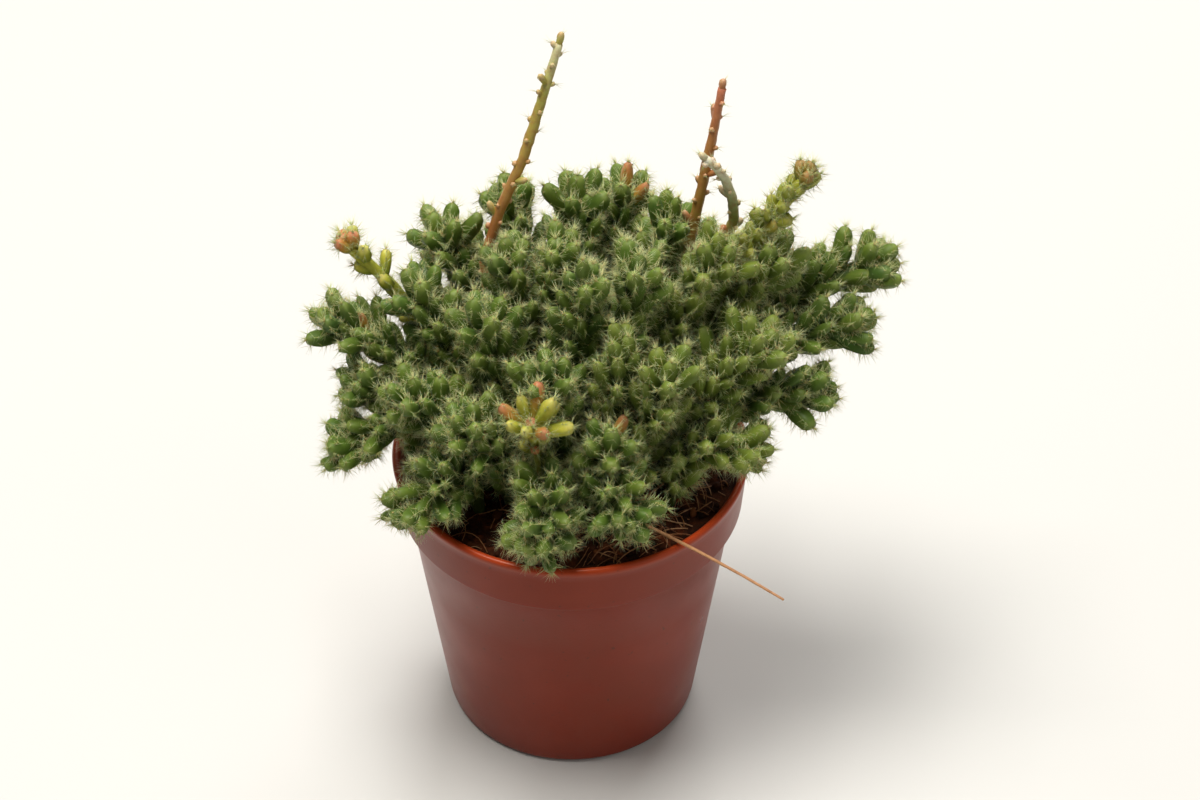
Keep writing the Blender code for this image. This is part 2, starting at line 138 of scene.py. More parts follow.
# Leafy stems: where each tip stands from the middle of the rim (x, y, height over the rim),
# and how high the stem arches over the straight way there.
leafyStems = (
    (-4.0, -24.5, 4.5, 6.5), (7.5, -22.0, 7.0, 5.5), (-15.0, -15.0, 16.0, 2.0), (5.5, -16.0, 13.5, 1.0),
    (-3.0, -12.0, 23.0, 1.0), (14.0, -12.0, 22.5, 1.0), (-23.0, -9.0, 16.5, 3.0), (-31.5, -7.0, 7.0, 8.0),
    (-22.5, -18.0, 4.0, 6.0), (-34.0, 3.0, 21.5, 4.0), (-30.0, -3.0, 14.0, 3.0), (-22.0, 4.0, 25.5, 2.0),
    (-13.0, -4.0, 26.5, 1.0), (2.5, -3.0, 33.0, 0.0), (9.5, -2.0, 34.5, 0.0), (8.0, -9.5, 25.0, 1.0),
    (-19.0, 13.0, 29.5, 2.0), (-9.0, 4.5, 31.5, 1.0), (-9.0, 19.0, 30.5, 2.0), (1.0, 14.0, 35.0, 1.0),
    (8.0, 20.0, 32.0, 1.0), (14.5, 10.0, 34.0, 1.0), (-2.0, 4.0, 33.0, 0.0), (-17.0, 24.0, 17.5, 5.0),
    (2.0, 27.0, 18.0, 5.0), (19.0, 21.0, 22.0, 4.0), (21.5, 2.0, 34.0, 1.0), (29.5, 4.0, 32.0, 2.0),
    (27.5, -6.5, 24.0, 3.0), (35.0, -4.0, 14.5, 6.0), (44.0, 10.0, 27.5, 5.0), (40.5, 3.0, 21.5, 6.0),
    (24.5, -12.5, 10.0, 6.0), (29.0, 18.0, 21.0, 4.0),
)

# Long slender new shoots: the points each one passes over the soil, from the middle of the rim.
longShoots = {
    "a": ((-10.5, 4.5, 12.0), (-13.0, 10.0, 29.5), (-7.0, 11.5, 47.5), (-1.5, 16.0, 65.5)),
    "b": ((11.0, 7.5, 10.0), (16.0, 9.0, 23.5), (19.5, 11.5, 41.0), (22.5, 14.5, 58.5)),
    "c": ((17.5, 7.0, 12.0), (21.5, 8.5, 28.5), (24.5, 8.0, 39.0), (23.0, 7.0, 47.5), (20.0, 6.0, 52.0)),
}

# Sprays of new growth: tip and arch, as on the leafy stems, and the length of each that is branched.
youngSprays = {
    "front": (-5.5, -17.5, 19.5, 1.0, 6.5),
    "left": (-33.0, 7.5, 34.0, 3.0, 17.0),
    "right": (34.5, 5.0, 49.0, 2.0, 22.0),
}


def rootSpot(tipX, tipY, tipZ):
    # Where a stem would leave the soil: inside the pot, and nearer the middle the taller it is.
    reach = math.hypot(tipX, tipY)
    most, fall, least = soilSizes["tallPull"]
    root = soilSizes["rootCircle"] * (1.0 - math.exp(-reach / soilSizes["rootSpread"])) * max(most - fall * tipZ, least)
    return Vector((tipX * root / reach, tipY * root / reach))


def spreadRoots(roots):
    # Moves the roots apart until each stem has room for its own hole in the soil.
    roots = [root.copy() for root in roots]
    for _ in range(200):
        for k in range(len(roots)):
            for j in range(k):
                apart = roots[k] - roots[j]
                if apart.length < soilSizes["rootSpacing"]:
                    push = apart.normalized() * (soilSizes["rootSpacing"] - apart.length) * 0.5
                    roots[k] += push
                    roots[j] -= push
        for root in roots:
            if root.length > soilSizes["rootLimit"]:
                root *= soilSizes["rootLimit"] / root.length
    return roots


def leafyWay(root, tip, arch):
    # The way of a leafy stem, from its root end in the soil to its tip.
    steps = 4
    tipX, tipY, tipZ = tip
    baseX, baseY = root
    start = soilTop + stemSizes["overSoil"]
    end = potTop + tipZ
    way = [Vector((baseX, baseY, soilTop - soilSizes["holeDepth"])), Vector((baseX, baseY, start))]
    for k in range(1, steps + 1):
        t = k / steps
        spread = t ** stemSizes["outward"]
        z = start + (end - start) * t + arch * 4.0 * t * (1.0 - t)
        way.append(Vector((baseX + (tipX - baseX) * spread, baseY + (tipY - baseY) * spread, z)))
    return way


def shootWay(root, points):
    # A shoot's way, rising straight from its root end in the soil and then smooth through its points.
    first = Vector((*root, soilTop + stemSizes["overSoil"]))
    knots = [first] + [Vector((x, y, potTop + z)) for x, y, z in points]
    return [Vector((first.x, first.y, soilTop - soilSizes["holeDepth"]))] + smoothWay(knots, 2)


def smoothWay(knots, steps):
    # A smooth way through all the knots, with so many steps from each to the next.
    way = []
    for k in range(len(knots) - 1):
        before = knots[max(k - 1, 0)]
        after = knots[min(k + 2, len(knots) - 1)]
        way += [curvePoint(before, knots[k], knots[k + 1], after, j / steps) for j in range(steps)]
    return way + [knots[-1]]


def curvePoint(before, start, end, after, t):
    # A point on the smooth curve between two knots.
    leave = (end - before) * 0.5
    arrive = (after - start) * 0.5
    return (
        start * (2.0 * t**3 - 3.0 * t**2 + 1.0)
        + leave * (t**3 - 2.0 * t**2 + t)
        + end * (3.0 * t**2 - 2.0 * t**3)
        + arrive * (t**3 - t**2)
    )


def along(way, distance):
    # The point and the heading at a distance along a way from its start, and the place in its list.
    for k in range(len(way) - 1):
        piece = (way[k + 1] - way[k]).length
        if distance <= piece or k == len(way) - 2:
            share = min(distance / piece, 1.0)
            return way[k].lerp(way[k + 1], share), (way[k + 1] - way[k]).normalized(), k + share
        distance -= piece


def wayLength(way):
    return sum((way[k + 1] - way[k]).length for k in range(len(way) - 1))


def waySpheres(plant):
    # Balls that fill a stem, each with its place in the stem's list of points.
    spheres = []
    places = []
    total = wayLength(plant["way"])
    count = int(total / stemSizes["ballStep"]) + 1
    for k in range(count + 1):
        point, _, place = along(plant["way"], total * k / count)
        spheres.append((point.x, point.y, point.z, radiusAt(plant, place)))
        places.append(place)
    return spheres, places


def radiusAt(plant, place):
    # How thick a plant's stem is at a place in its list of points.
    k = min(int(place), len(plant["radii"]) - 2)
    return plant["radii"][k] + (plant["radii"][k + 1] - plant["radii"][k]) * (place - k)


def stemBalls(plants):
    # The balls of every stem, and whose each one is.
    rows = [waySpheres(plant)[0] for plant in plants]
    return [ball for row in rows for ball in row], [k for k, row in enumerate(rows) for _ in row]


def thickenStems(plants):
    # Gives each leafy stem's upper part its thick core, as far as its neighbours leave room.
    balls = [waySpheres(plant) for plant in plants]
    for k, plant in enumerate(plants):
        if plant["kind"] != "leafy":
            continue
        others = np.array([ball[:3] for j, (row, _) in enumerate(balls) if j != k for ball in row])
        spheres, places = balls[k]
        middle = np.array([ball[:3] for ball in spheres])
        room = np.linalg.norm(middle[:, None] - others[None], axis=2).min(axis=1) * 0.5 - 0.2
        last = len(plant["way"]) - 1
        for j in range(2, last + 1):
            near = [r for r, place in zip(room, places) if abs(place - j) <= 1.0]
            rise = (j / last - stemSizes["coreStart"]) / (stemSizes["coreFull"] - stemSizes["coreStart"])
            rise = min(max(rise, 0.0), 1.0)
            wanted = plant["stem"] + (stemSizes["coreRadius"] - plant["stem"]) * rise * (1.0 if j < last else 0.6)
            plant["radii"][j] = max(plant["stem"], min(wanted, min(near)))


def planPlants():
    # Every stem, spray and shoot, with its way, thickness and manner of branching.
    wanted = [rootSpot(*place[:3]) for place in (*leafyStems, *youngSprays.values())]
    wanted += [Vector(points[0][:2]) for points in longShoots.values()]
    roots = iter(spreadRoots(wanted))
    plans = []
    for k, (*tip, arch) in enumerate(leafyStems):
        plans.append(("leafy", f"leafy_stem_{k + 1:02d}", leafyWay(next(roots), tip, arch), stemSizes["bareStem"]))
    for name, (*tip, arch, branched) in youngSprays.items():
        way = leafyWay(next(roots), tip, arch)
        plans.append(("spray", f"young_spray_{name}", way, wayLength(way) - branched))
    for name, points in longShoots.items():
        plans.append(("shoot", f"long_shoot_{name}", shootWay(next(roots), points), stemSizes["bareShoot"]))
    plants = [{"kind": kind, "name": name, "way": way, "bare": bare, **habits[kind]} for kind, name, way, bare in plans]
    for plant in plants:
        plant["radii"] = [plant["stem"]] * len(plant["way"])
    thickenStems(plants)
    return plants


def branchletSpheres(root, heading, length, radius):
    # Balls that fill a branchlet.
    spots = ((0.25, 0.45), (0.42, 0.66), (0.6, 0.88), (0.76, 1.0), (0.88, 0.72))
    return [(*(root + heading * length * s), radius * r) for s, r in spots]


def hitsPot(spheres):
    # Whether any ball comes too near the pot or the soil.
    rim, wall = potSizes["rimRadius"], potSizes["wall"]
    gap = stemSizes["gap"]
    for x, y, z, r in spheres:
        reach = math.hypot(x, y)
        lip = math.hypot(reach - (rim - 0.5 * wall), z - (potTop - 0.6))
        besideWall = rim - wall - 1.0 - r < reach < rim + gap + r
        if lip < r + stemSizes["lipClear"] + gap or (z < potTop - 0.5 and besideWall):
            return True
        if (reach < rim and z - r < soilTop + stemSizes["soilClear"]) or z - r < potTop - stemSizes["lowest"]:
            return True
    return False


def hitsOthers(spheres, others):
    # Whether any ball comes too near another plant's balls.
    mine = np.array(spheres)
    apart = np.linalg.norm(mine[:, None, :3] - others[None, :, :3], axis=2)
    return bool((apart < mine[:, None, 3] + others[None, :, 3] + stemSizes["gap"]).any())


def sideAt(ahead, turn):
    # A direction square to the way ahead, turned around it.
    side = ahead.orthogonal().normalized()
    side.rotate(Matrix.Rotation(turn, 3, ahead))
    return side


def leaning(ahead, turn, lean):
    # A heading that leans away from the way ahead by so many degrees.
    lean = math.radians(lean)
    return ahead * math.cos(lean) + sideAt(ahead, turn) * math.sin(lean)


def branchletWishes(plant, draw):
    # Where a plant would like its branchlets: root, heading, length and radius of each.
    total = wayLength(plant["way"])
    turn = draw.uniform(0.0, math.tau)
    wishes = []
    distance = plant["bare"]
    while distance < total - 1.0:
        point, ahead, place = along(plant["way"], distance)
        heading = leaning(ahead, turn, draw.uniform(*plant["lean"]))
        length = plant["length"] * draw.uniform(*stemSizes["lengthRange"]) + radiusAt(plant, place)
        wishes.append((point, heading, length, plant["radius"] * draw.uniform(*stemSizes["radiusRange"])))
        turn += stemSizes["goldenAngle"]
        distance += plant["pitch"] * draw.uniform(*stemSizes["pitchRange"])
    point, ahead, _ = along(plant["way"], total - 0.8)
    for k in range(plant["crown"]):
        around = turn + math.tau * k / max(plant["crown"] - 1, 1)
        heading = leaning(ahead, around, 0.0 if k == 0 else draw.uniform(*plant["spread"]))
        length = plant["length"] * draw.uniform(*stemSizes["crownRange"])
        wishes.append((point, heading, length, plant["radius"]))
    return wishes


def settleBranchlets(plants):
    # Gives each plant the branchlets that clear the pot, the soil and the other plants.
    taken, owners = stemBalls(plants)
    wishes = [branchletWishes(plant, random.Random(seed + 7 * k)) for k, plant in enumerate(plants)]
    for plant in plants:
        plant["branchlets"] = []
    tips = [[] for _ in plants]
    for turn in range(max(len(w) for w in wishes)):
        for k, plant in enumerate(plants):
            if turn >= len(wishes[k]):
                continue
            placed = bendClear(wishes[k][-1 - turn], np.array(taken)[np.array(owners) != k], tips[k])
            if placed:
                plant["branchlets"].append(placed)
                tips[k].append(placed[0] + placed[1] * placed[2])
                spheres = branchletSpheres(*placed)
                taken += spheres
                owners += [k] * len(spheres)


def bendClear(wish, others, ownTips):
    # Turns or shortens a branchlet until it is clear, or gives it up.
    root, heading, length, radius = wish
    for share in (1.0, 0.85, 0.7):
        for bend in (0.0, 22.0, 40.0):
            for quarter in range(1 if bend == 0.0 else 4):
                pivot = sideAt(heading, quarter * math.pi / 2.0)
                turned = heading.copy()
                turned.rotate(Matrix.Rotation(math.radians(bend), 3, pivot))
                tip = root + turned * length * share
                if any((tip - other).length < 1.3 * radius for other in ownTips):
                    continue
                spheres = branchletSpheres(root, turned, length * share, radius)
                if not hitsPot(spheres) and not hitsOthers(spheres, others):
                    return root, turned, length * share, radius
    return None


# The fine branchlets that cover each stem, in millimetres and degrees.
branchletLook = {
    "leafy": {
        "radius": (0.95, 1.4),
        "standOut": (3.6, 6.4),
        "pitch": 0.36,
        "tipSpacing": 2.5,
        "middleSpacing": 1.95,
        "lean": (34.0, 64.0),
        "slimmer": (0.60, 0.74),
    },
    "spray": {
        "radius": (0.75, 1.0),
        "standOut": (2.2, 3.2),
        "pitch": 0.8,
        "tipSpacing": 2.1,
        "middleSpacing": 1.7,
        "lean": (38.0, 60.0),
        "slimmer": (0.85, 0.98),
    },
    "passes": 3,
    "upward": 0.40,
    "uprightLength": 7.0,
    "pitchRange": (0.7, 1.3),
    "middle": 0.66,
    "lift": {True: 0.42, False: 0.18},
    "droopLift": 0.7,
    "brightLength": 1.1,
    "sides": 10,
    "ribDepth": 0.20,
    "twist": 0.5,
    "bend": (0.03, 0.20),
    "unevenness": 0.025,
}
branchletProfile = (
    (0.12, 0.60), (0.28, 0.80), (0.43, 0.91), (0.58, 0.98), (0.74, 1.0), (0.87, 0.90), (0.95, 0.66), (0.988, 0.36)
)
bristleLook = {
    "length": (0.9, 2.3),
    "radius": 0.038,
    "padLength": (0.10, 0.22),
    "padRadius": 0.15,
    "heights": (0.40, 0.50, 0.60, 0.70, 0.79, 0.87, 0.94),
    "eachAreole": 3,
    "forward": (0.1, 0.9),
    "tuft": 26,
    "wideFrom": 1.4,
    "wideExtra": 84,
    "wideHeights": (0.30, 0.97),
    "jitter": 0.38,
    "tuftJitter": 0.5,
}
# The stems with the longest, brightest branchlets, which stand up the most.
brightStems = ("leafy_stem_06", "leafy_stem_16", "leafy_stem_27", "leafy_stem_28", "leafy_stem_29", "leafy_stem_33")
# Where new tips glow orange and pink: points from the middle of the rim.
newTips = (
    (-33.0, 4.0, 24.5), (-30.0, -4.0, 8.0), (9.5, -14.0, 19.7), (11.0, 20.0, 39.0), (13.5, 20.0, 38.0),
    (29.0, 5.0, 36.5), (-36.0, 4.0, 20.0),
)
newTipSlimmer = 0.72


def profileRadius(share):
    # How wide a branchlet is at a share of its length.
    for (s0, r0), (s1, r1) in zip(branchletProfile, branchletProfile[1:]):
        if share <= s1:
            return r0 + (r1 - r0) * max(share - s0, 0.0) / (s1 - s0)
    return branchletProfile[-1][1]


def nearAny(points, spot, least):
    # Whether any of the points is nearer to the spot than it may be.
    return (np.linalg.norm(points - spot, axis=1) < least).any()


def coverStems(plants):
    # Covers the stems with small branchlets, each clear of the pot, the soil, the stems and the others.
    balls, owners = (np.array(row) for row in stemBalls(plants))
    tips = middles = np.zeros((0, 3))
    middle = branchletLook["middle"]
    for k, plant in enumerate(plants):
        draw = random.Random(seed * 50 + k)
        look = branchletLook["leafy" if plant["kind"] == "leafy" else "spray"]
        bright = plant["name"] in brightStems
        plant["fine"] = []
        for root, heading, length, radius in plant["branchlets"]:
            lift = branchletLook["lift"][bright] + branchletLook["droopLift"] * max(-heading.z, 0.0)
            heading = (heading + Vector((0.0, 0.0, lift))).normalized()
            length *= branchletLook["brightLength"] if bright else 1.0
            plant["fine"].append((root, heading, length, radius * draw.uniform(*look["slimmer"])))
            tips = np.vstack([tips, root + heading * length])
            middles = np.vstack([middles, root + heading * length * middle])
    for turnPass in range(branchletLook["passes"]):
        for k, plant in enumerate(plants):
            if plant["kind"] == "shoot" or plant["name"] == "young_spray_left":
                continue
            draw = random.Random(seed * 100 + 31 * k + turnPass)
            others = balls[owners != k]
            for fine in fineWishes(plant, draw):
                root, heading, length, radius = fine
                look = branchletLook[plant["kind"]]
                tip = np.array(root + heading * length)
                waist = np.array(root + heading * length * middle)
                if (
                    nearAny(tips, tip, look["tipSpacing"])
                    or nearAny(middles, waist, look["middleSpacing"])
                    or nearAny(others[:, :3], tip, others[:, 3] + radius * 0.7)
                    or nearAny(others[:, :3], waist, others[:, 3] + radius * 0.8)
                    or hitsPot(branchletSpheres(*fine))
                ):
                    continue
                plant["fine"].append(fine)
                tips = np.vstack([tips, tip])
                middles = np.vstack([middles, waist])


def fineWishes(plant, draw):
    # Where a stem would like its small branchlets, closer together and more upright towards its tip.
    look = branchletLook[plant["kind"]]
    total = wayLength(plant["way"])
    distance = plant["bare"] - (1.0 if plant["kind"] == "leafy" else 0.0)
    turn = draw.uniform(0.0, math.tau)
    while distance < total - 0.3:
        root, ahead, place = along(plant["way"], distance)
        toTip = min((total - distance) / branchletLook["uprightLength"], 1.0)
        heading = leaning(ahead, turn, draw.uniform(*look["lean"]) * (0.25 + 0.75 * toTip))
        heading = (heading + Vector((0.0, 0.0, branchletLook["upward"]))).normalized()
        length = radiusAt(plant, place) * 0.9 + draw.uniform(*look["standOut"])
        radius = draw.uniform(*look["radius"])
        turn += stemSizes["goldenAngle"]
        distance += look["pitch"] * draw.uniform(*branchletLook["pitchRange"])
        yield root, heading, length, radius


def markNewTips(plants):
    # Finds the branchlet nearest to each glowing tip, and makes it slimmer.
    leafy = [plant for plant in plants if plant["kind"] == "leafy"]
    for plant in leafy:
        plant["newTips"] = []
    for x, y, z in newTips:
        spot = Vector((x, y, potTop + z))
        _, j, k = min(
            ((root + heading * length - spot).length, j, k)
            for j, plant in enumerate(leafy)
            for k, (root, heading, length, _) in enumerate(plant["fine"])
        )
        *rest, radius = leafy[j]["fine"][k]
        leafy[j]["fine"][k] = (*rest, radius * newTipSlimmer)
        leafy[j]["newTips"].append(k)


def newObject(name, data):
    # An object of its own in the scene.
    piece = bpy.data.objects.new(name, data)
    bpy.context.scene.collection.objects.link(piece)
    return piece


class MeshPile:
    # Collects the points and faces of one piece. Each point keeps four shades: how far along its branchlet it is,
    # the branchlet's own chance shade, how young it is, and whether it is on a rib.
    def __init__(self):
        self.points = []
        self.growth = []
        self.faces = {"quads": [], "tris": []}
        self.slots = {"quads": [], "tris": []}
        self.count = 0

    def add(self, points, quads, tris, growth, material=0):
        points = np.asarray(points, float).reshape(-1, 3)
        self.points.append(points)
        self.growth.append(np.broadcast_to(np.asarray(growth, float), (len(points), 4)))
        for kind, faces in (("quads", quads), ("tris", tris)):
            if len(faces):
                self.faces[kind].append(np.asarray(faces, int) + self.count)
                self.slots[kind].append(np.full(len(faces), material, np.int32))
        self.count += len(points)

    def build(self, name, materials, smoothLimit=None):
        mesh = bpy.data.meshes.new(name)
        kinds = [kind for kind in ("quads", "tris") if self.faces[kind]]
        faces = [face for kind in kinds for face in np.concatenate(self.faces[kind]).tolist()]
        mesh.from_pydata((np.concatenate(self.points) * mm).tolist(), [], faces)
        for material in materials:
            mesh.materials.append(material)
        slots = np.concatenate([np.concatenate(self.slots[kind]) for kind in kinds])
        mesh.polygons.foreach_set("material_index", slots)
        mesh.shade_smooth()
        if smoothLimit is not None:
            mesh.set_sharp_from_angle(angle=math.radians(smoothLimit))
        shades = mesh.attributes.new("growth", "FLOAT_COLOR", "POINT")
        shades.data.foreach_set("color", np.concatenate(self.growth).astype(np.float32).ravel())
        mesh.update()
        return newObject(name, mesh)


def ringFaces(rings, sides):
    # Quads between closed rings of points.
    spots = [(k * sides, j, (j + 1) % sides) for k in range(rings - 1) for j in range(sides)]
    return [(ring + j, ring + n, ring + sides + n, ring + sides + j) for ring, j, n in spots]


def capFaces(first, sides, centre, flip=False):
    # Triangles that close a ring with its centre point.
    edges = [(first + j, first + (j + 1) % sides) for j in range(sides)]
    return [(n, j, centre) if flip else (j, n, centre) for j, n in edges]


def branchletParts(fine):
    # The roots, headings, lengths and radii of branchlets, and two directions square to each.
    root, heading, length, radius = (np.array([branchlet[k] for branchlet in fine]) for k in range(4))
    sideways = np.array([branchlet[1].orthogonal().normalized() for branchlet in fine])
    return root, heading, length, radius, sideways, np.cross(heading, sideways)


def addBranchlets(pile, fine, youth, rng, material=0, chance=None):
    # Ribbed stubby branchlets, a little bent upward, all shaped at once.
    sides = branchletLook["sides"]
    rings = len(branchletProfile)
    count = len(fine)
    root, heading, length, radius, sideways, across = branchletParts(fine)
    spin = rng.uniform(0.0, math.tau, count)
    bend = rng.uniform(*branchletLook["bend"], count)
    angles = np.arange(sides) * math.tau / sides
    rib = 1.0 - branchletLook["ribDepth"] * (np.arange(sides) % 2)
    points = np.zeros((count, rings * sides + 2, 3))
    for k, (share, width) in enumerate(branchletProfile):
        centre = root + heading * (length * share)[:, None] + up * (bend * length * share**2)[:, None]
        turned = angles[None, :] + spin[:, None] + branchletLook["twist"] * share
        wide = radius[:, None] * width * rib[None, :]
        wide = wide * (1.0 + rng.normal(0.0, branchletLook["unevenness"], (count, sides)))
        points[:, k * sides:(k + 1) * sides] = (
            centre[:, None, :]
            + sideways[:, None, :] * (np.cos(turned) * wide)[:, :, None]
            + across[:, None, :] * (np.sin(turned) * wide)[:, :, None]
        )
    points[:, -2] = root + heading * (length * 0.05)[:, None]
    points[:, -1] = root + heading * length[:, None] + up * (bend * length)[:, None]
    quads = np.array(ringFaces(rings, sides))
    caps = capFaces(0, sides, rings * sides, flip=True), capFaces((rings - 1) * sides, sides, rings * sides + 1)
    growth = np.zeros((count, rings * sides + 2, 4))
    growth[:, :, 0] = np.concatenate([np.repeat([share for share, _ in branchletProfile], sides), [0.0, 1.0]])
    growth[:, :, 1] = (rng.uniform(0.0, 1.0, count) if chance is None else chance)[:, None]
    growth[:, :, 2] = np.asarray(youth, float).reshape(-1, 1)
    growth[:, :, 3] = np.concatenate([np.tile(1.0 - np.arange(sides) % 2, rings), [0.5, 0.5]])
    step = (np.arange(count) * (rings * sides + 2))[:, None, None]
    quads = (quads[None] + step).reshape(-1, 4)
    tris = (np.array(caps[0] + caps[1])[None] + step).reshape(-1, 3)
    pile.add(points, quads, tris, growth.reshape(-1, 4), material)
    return spin, bend


def addBristles(pile, fine, spin, bend, rng, material=1):
    # Fine bristles from the areoles along each branchlet's ribs, and a tuft on its tip.
    count = len(fine)
    root, heading, length, radius, sideways, across = branchletParts(fine)
    sides = branchletLook["sides"]
    ribs = sides // 2
    bases, ways, pads, padWays = [], [], [], []

    def spotAt(height, rib):
        # A place on a rib of every branchlet, and the way out of it.
        angle = rib * 2.0 * math.tau / sides + spin + branchletLook["twist"] * height
        out = sideways * np.cos(angle)[:, None] + across * np.sin(angle)[:, None]
        centre = root + heading * (length * height)[:, None] + up * (bend * length * height**2)[:, None]
        return centre + out * (radius * profileRadius(height) * 0.97)[:, None], out

    for height in bristleLook["heights"]:
        for rib in range(ribs):
            if (rib + int(height * 100)) % 2:
                continue
            base, out = spotAt(height, rib)
            pads.append(base)
            padWays.append(out)
            for _ in range(bristleLook["eachAreole"]):
                jitter = rng.normal(0.0, bristleLook["jitter"], (count, 3))
                bases.append(base)
                ways.append(out * 0.9 + heading * rng.uniform(*bristleLook["forward"], (count, 1)) + jitter)
    wide = radius > bristleLook["wideFrom"]  # The wide branchlets have room for more bristles.
    for _ in range(bristleLook["wideExtra"] if wide.any() else 0):
        height = rng.uniform(*bristleLook["wideHeights"])
        base, out = spotAt(height, rng.integers(0, ribs, count))
        bases.append(base[wide])
        ways.append((out + heading * 0.4 + rng.normal(0.0, bristleLook["jitter"], (count, 3)))[wide])
    tip = root + heading * (length * 0.985)[:, None] + up * (bend * length)[:, None]
    for _ in range(bristleLook["tuft"]):
        bases.append(tip)
        ways.append(heading * 0.9 + rng.normal(0.0, bristleLook["tuftJitter"], (count, 3)))
    addHairs(pile, np.concatenate(bases), np.concatenate(ways), bristleLook["length"], rng, material)
    pads, padWays = np.concatenate(pads), np.concatenate(padWays)
    addHairs(pile, pads, padWays, bristleLook["padLength"], rng, material, bristleLook["padRadius"])


def addHairs(pile, bases, ways, lengths, rng, material, wide=bristleLook["radius"]):
    # Slender three-sided spikes, or the low woolly pads that they grow from.
    count = len(bases)
    ways = ways / np.linalg.norm(ways, axis=1)[:, None]
    first = np.cross(ways, np.where(np.abs(ways[:, 2:3]) < 0.9, up, np.array([1.0, 0.0, 0.0])))
    first /= np.linalg.norm(first, axis=1)[:, None]
    second = np.cross(ways, first)
    reach = rng.uniform(*lengths, count)
    thick = wide * rng.uniform(0.75, 1.15, count)
    points = np.zeros((count, 4, 3))
    for k in range(3):
        angle = math.tau * k / 3.0
        points[:, k] = bases + first * (math.cos(angle) * thick)[:, None] + second * (math.sin(angle) * thick)[:, None]
    points[:, 3] = bases + ways * reach[:, None]
    tris = np.array([(0, 1, 3), (1, 2, 3), (2, 0, 3)])[None] + (np.arange(count) * 4)[:, None, None]
    growth = np.zeros((count, 4, 4))
    growth[:, 3, 0] = 1.0
    growth[:, :, 1] = rng.uniform(0.0, 1.0, count)[:, None]
    pile.add(points, [], tris.reshape(-1, 3), growth.reshape(-1, 4), material)


def addTube(pile, way, radii, sides, growthAt, rng, rough=0.0, material=0):
    # A round rod along a way, with closed rounded ends.
    way = np.array(way)
    count = len(way)
    headings = np.gradient(way, axis=0)
    headings /= np.linalg.norm(headings, axis=1)[:, None]
    side = np.array(Vector(headings[0]).orthogonal().normalized())
    points = []
    angles = np.arange(sides) * math.tau / sides
    for k in range(count):
        side = side - headings[k] * side.dot(headings[k])
        side /= np.linalg.norm(side)
        other = np.cross(headings[k], side)
        wide = radii[k] * (1.0 + rng.normal(0.0, rough, sides)) if rough else np.full(sides, radii[k])
        points.append(way[k] + side * (np.cos(angles) * wide)[:, None] + other * (np.sin(angles) * wide)[:, None])
    points += [[way[0] - headings[0] * radii[0] * 0.3], [way[-1] + headings[-1] * radii[-1] * 0.6]]
    shares = [k / (count - 1) for k in range(count) for _ in range(sides)] + [0.0, 1.0]
    tris = capFaces(0, sides, count * sides, flip=True) + capFaces((count - 1) * sides, sides, count * sides + 1)
    pile.add(np.concatenate(points), ringFaces(count, sides), tris, [growthAt(share) for share in shares], material)


def resample(plant, step, share=1.0):
    # Even points along a plant's way, with the radius at each.
    total = wayLength(plant["way"])
    count = max(int(total / step), 4)
    way = []
    radii = []
    for k in range(count + 1):
        point, _, place = along(plant["way"], total * k / count)
        way.append(point)
        radii.append(max(radiusAt(plant, place) * share, plant["stem"] * 0.9))
    return way, radii


def newMaterial(name):
    material = bpy.data.materials.new(name)
    material.use_nodes = True
    return material, material.node_tree


def addNode(tree, kind, inputs=None, **settings):
    node = tree.nodes.new(kind)
    for key, value in settings.items():
        setattr(node, key, value)
    for key, value in (inputs or {}).items():
        node.inputs[key].default_value = value
    return node


def colourRamp(tree, stops, factor):
    node = tree.nodes.new("ShaderNodeValToRGB")
    ramp = node.color_ramp
    while len(ramp.elements) < len(stops):
        ramp.elements.new(0.5)
    for element, (place, colour) in zip(ramp.elements, stops):
        element.position = place
        element.color = (*colour, 1.0)
    tree.links.new(factor, node.inputs["Fac"])
    return node.outputs["Color"]


def mixColours(tree, factor, first, second):
    node = addNode(tree, "ShaderNodeMix", data_type="RGBA", blend_type="MIX", clamp_factor=True)
    for socket, value in zip((node.inputs[0], node.inputs[6], node.inputs[7]), (factor, first, second)):
        if isinstance(value, tuple):
            socket.default_value = (*value, 1.0)
        else:
            tree.links.new(value, socket)
    return node.outputs[2]


def noiseAt(tree, scale, detail=4.0, roughness=0.55):
    place = tree.nodes.new("ShaderNodeTexCoord")
    node = addNode(tree, "ShaderNodeTexNoise", {"Scale": scale, "Detail": detail, "Roughness": roughness})
    tree.links.new(place.outputs["Object"], node.inputs["Vector"])
    return node.outputs["Fac"]


def rangeOf(tree, value, low, high, newLow, newHigh):
    limits = {"From Min": low, "From Max": high, "To Min": newLow, "To Max": newHigh}
    node = addNode(tree, "ShaderNodeMapRange", limits, clamp=True)
    tree.links.new(value, node.inputs["Value"])
    return node.outputs["Result"]


def tinted(tree, base, tint, value, low, high, most, least=0.0):
    # Mixes a tint into a colour as a value rises from low to high.
    return mixColours(tree, rangeOf(tree, value, low, high, least, most), base, tint)


def dressed(material, colour, roughness, constants, bump=None):
    # Gives a material back with its colour and roughness linked, the shader's own values set, and its bump.
    tree = material.node_tree
    shader = tree.nodes["Principled BSDF"]
    tree.links.new(colour, shader.inputs["Base Color"])
    if roughness:
        tree.links.new(rangeOf(tree, *roughness), shader.inputs["Roughness"])
    for name, value in constants.items():
        shader.inputs[name].default_value = value
    if bump:
        height, strength, distance = bump
        node = addNode(tree, "ShaderNodeBump", {"Strength": strength, "Distance": distance})
        tree.links.new(height, node.inputs["Height"])
        tree.links.new(node.outputs["Normal"], shader.inputs["Normal"])
    return material


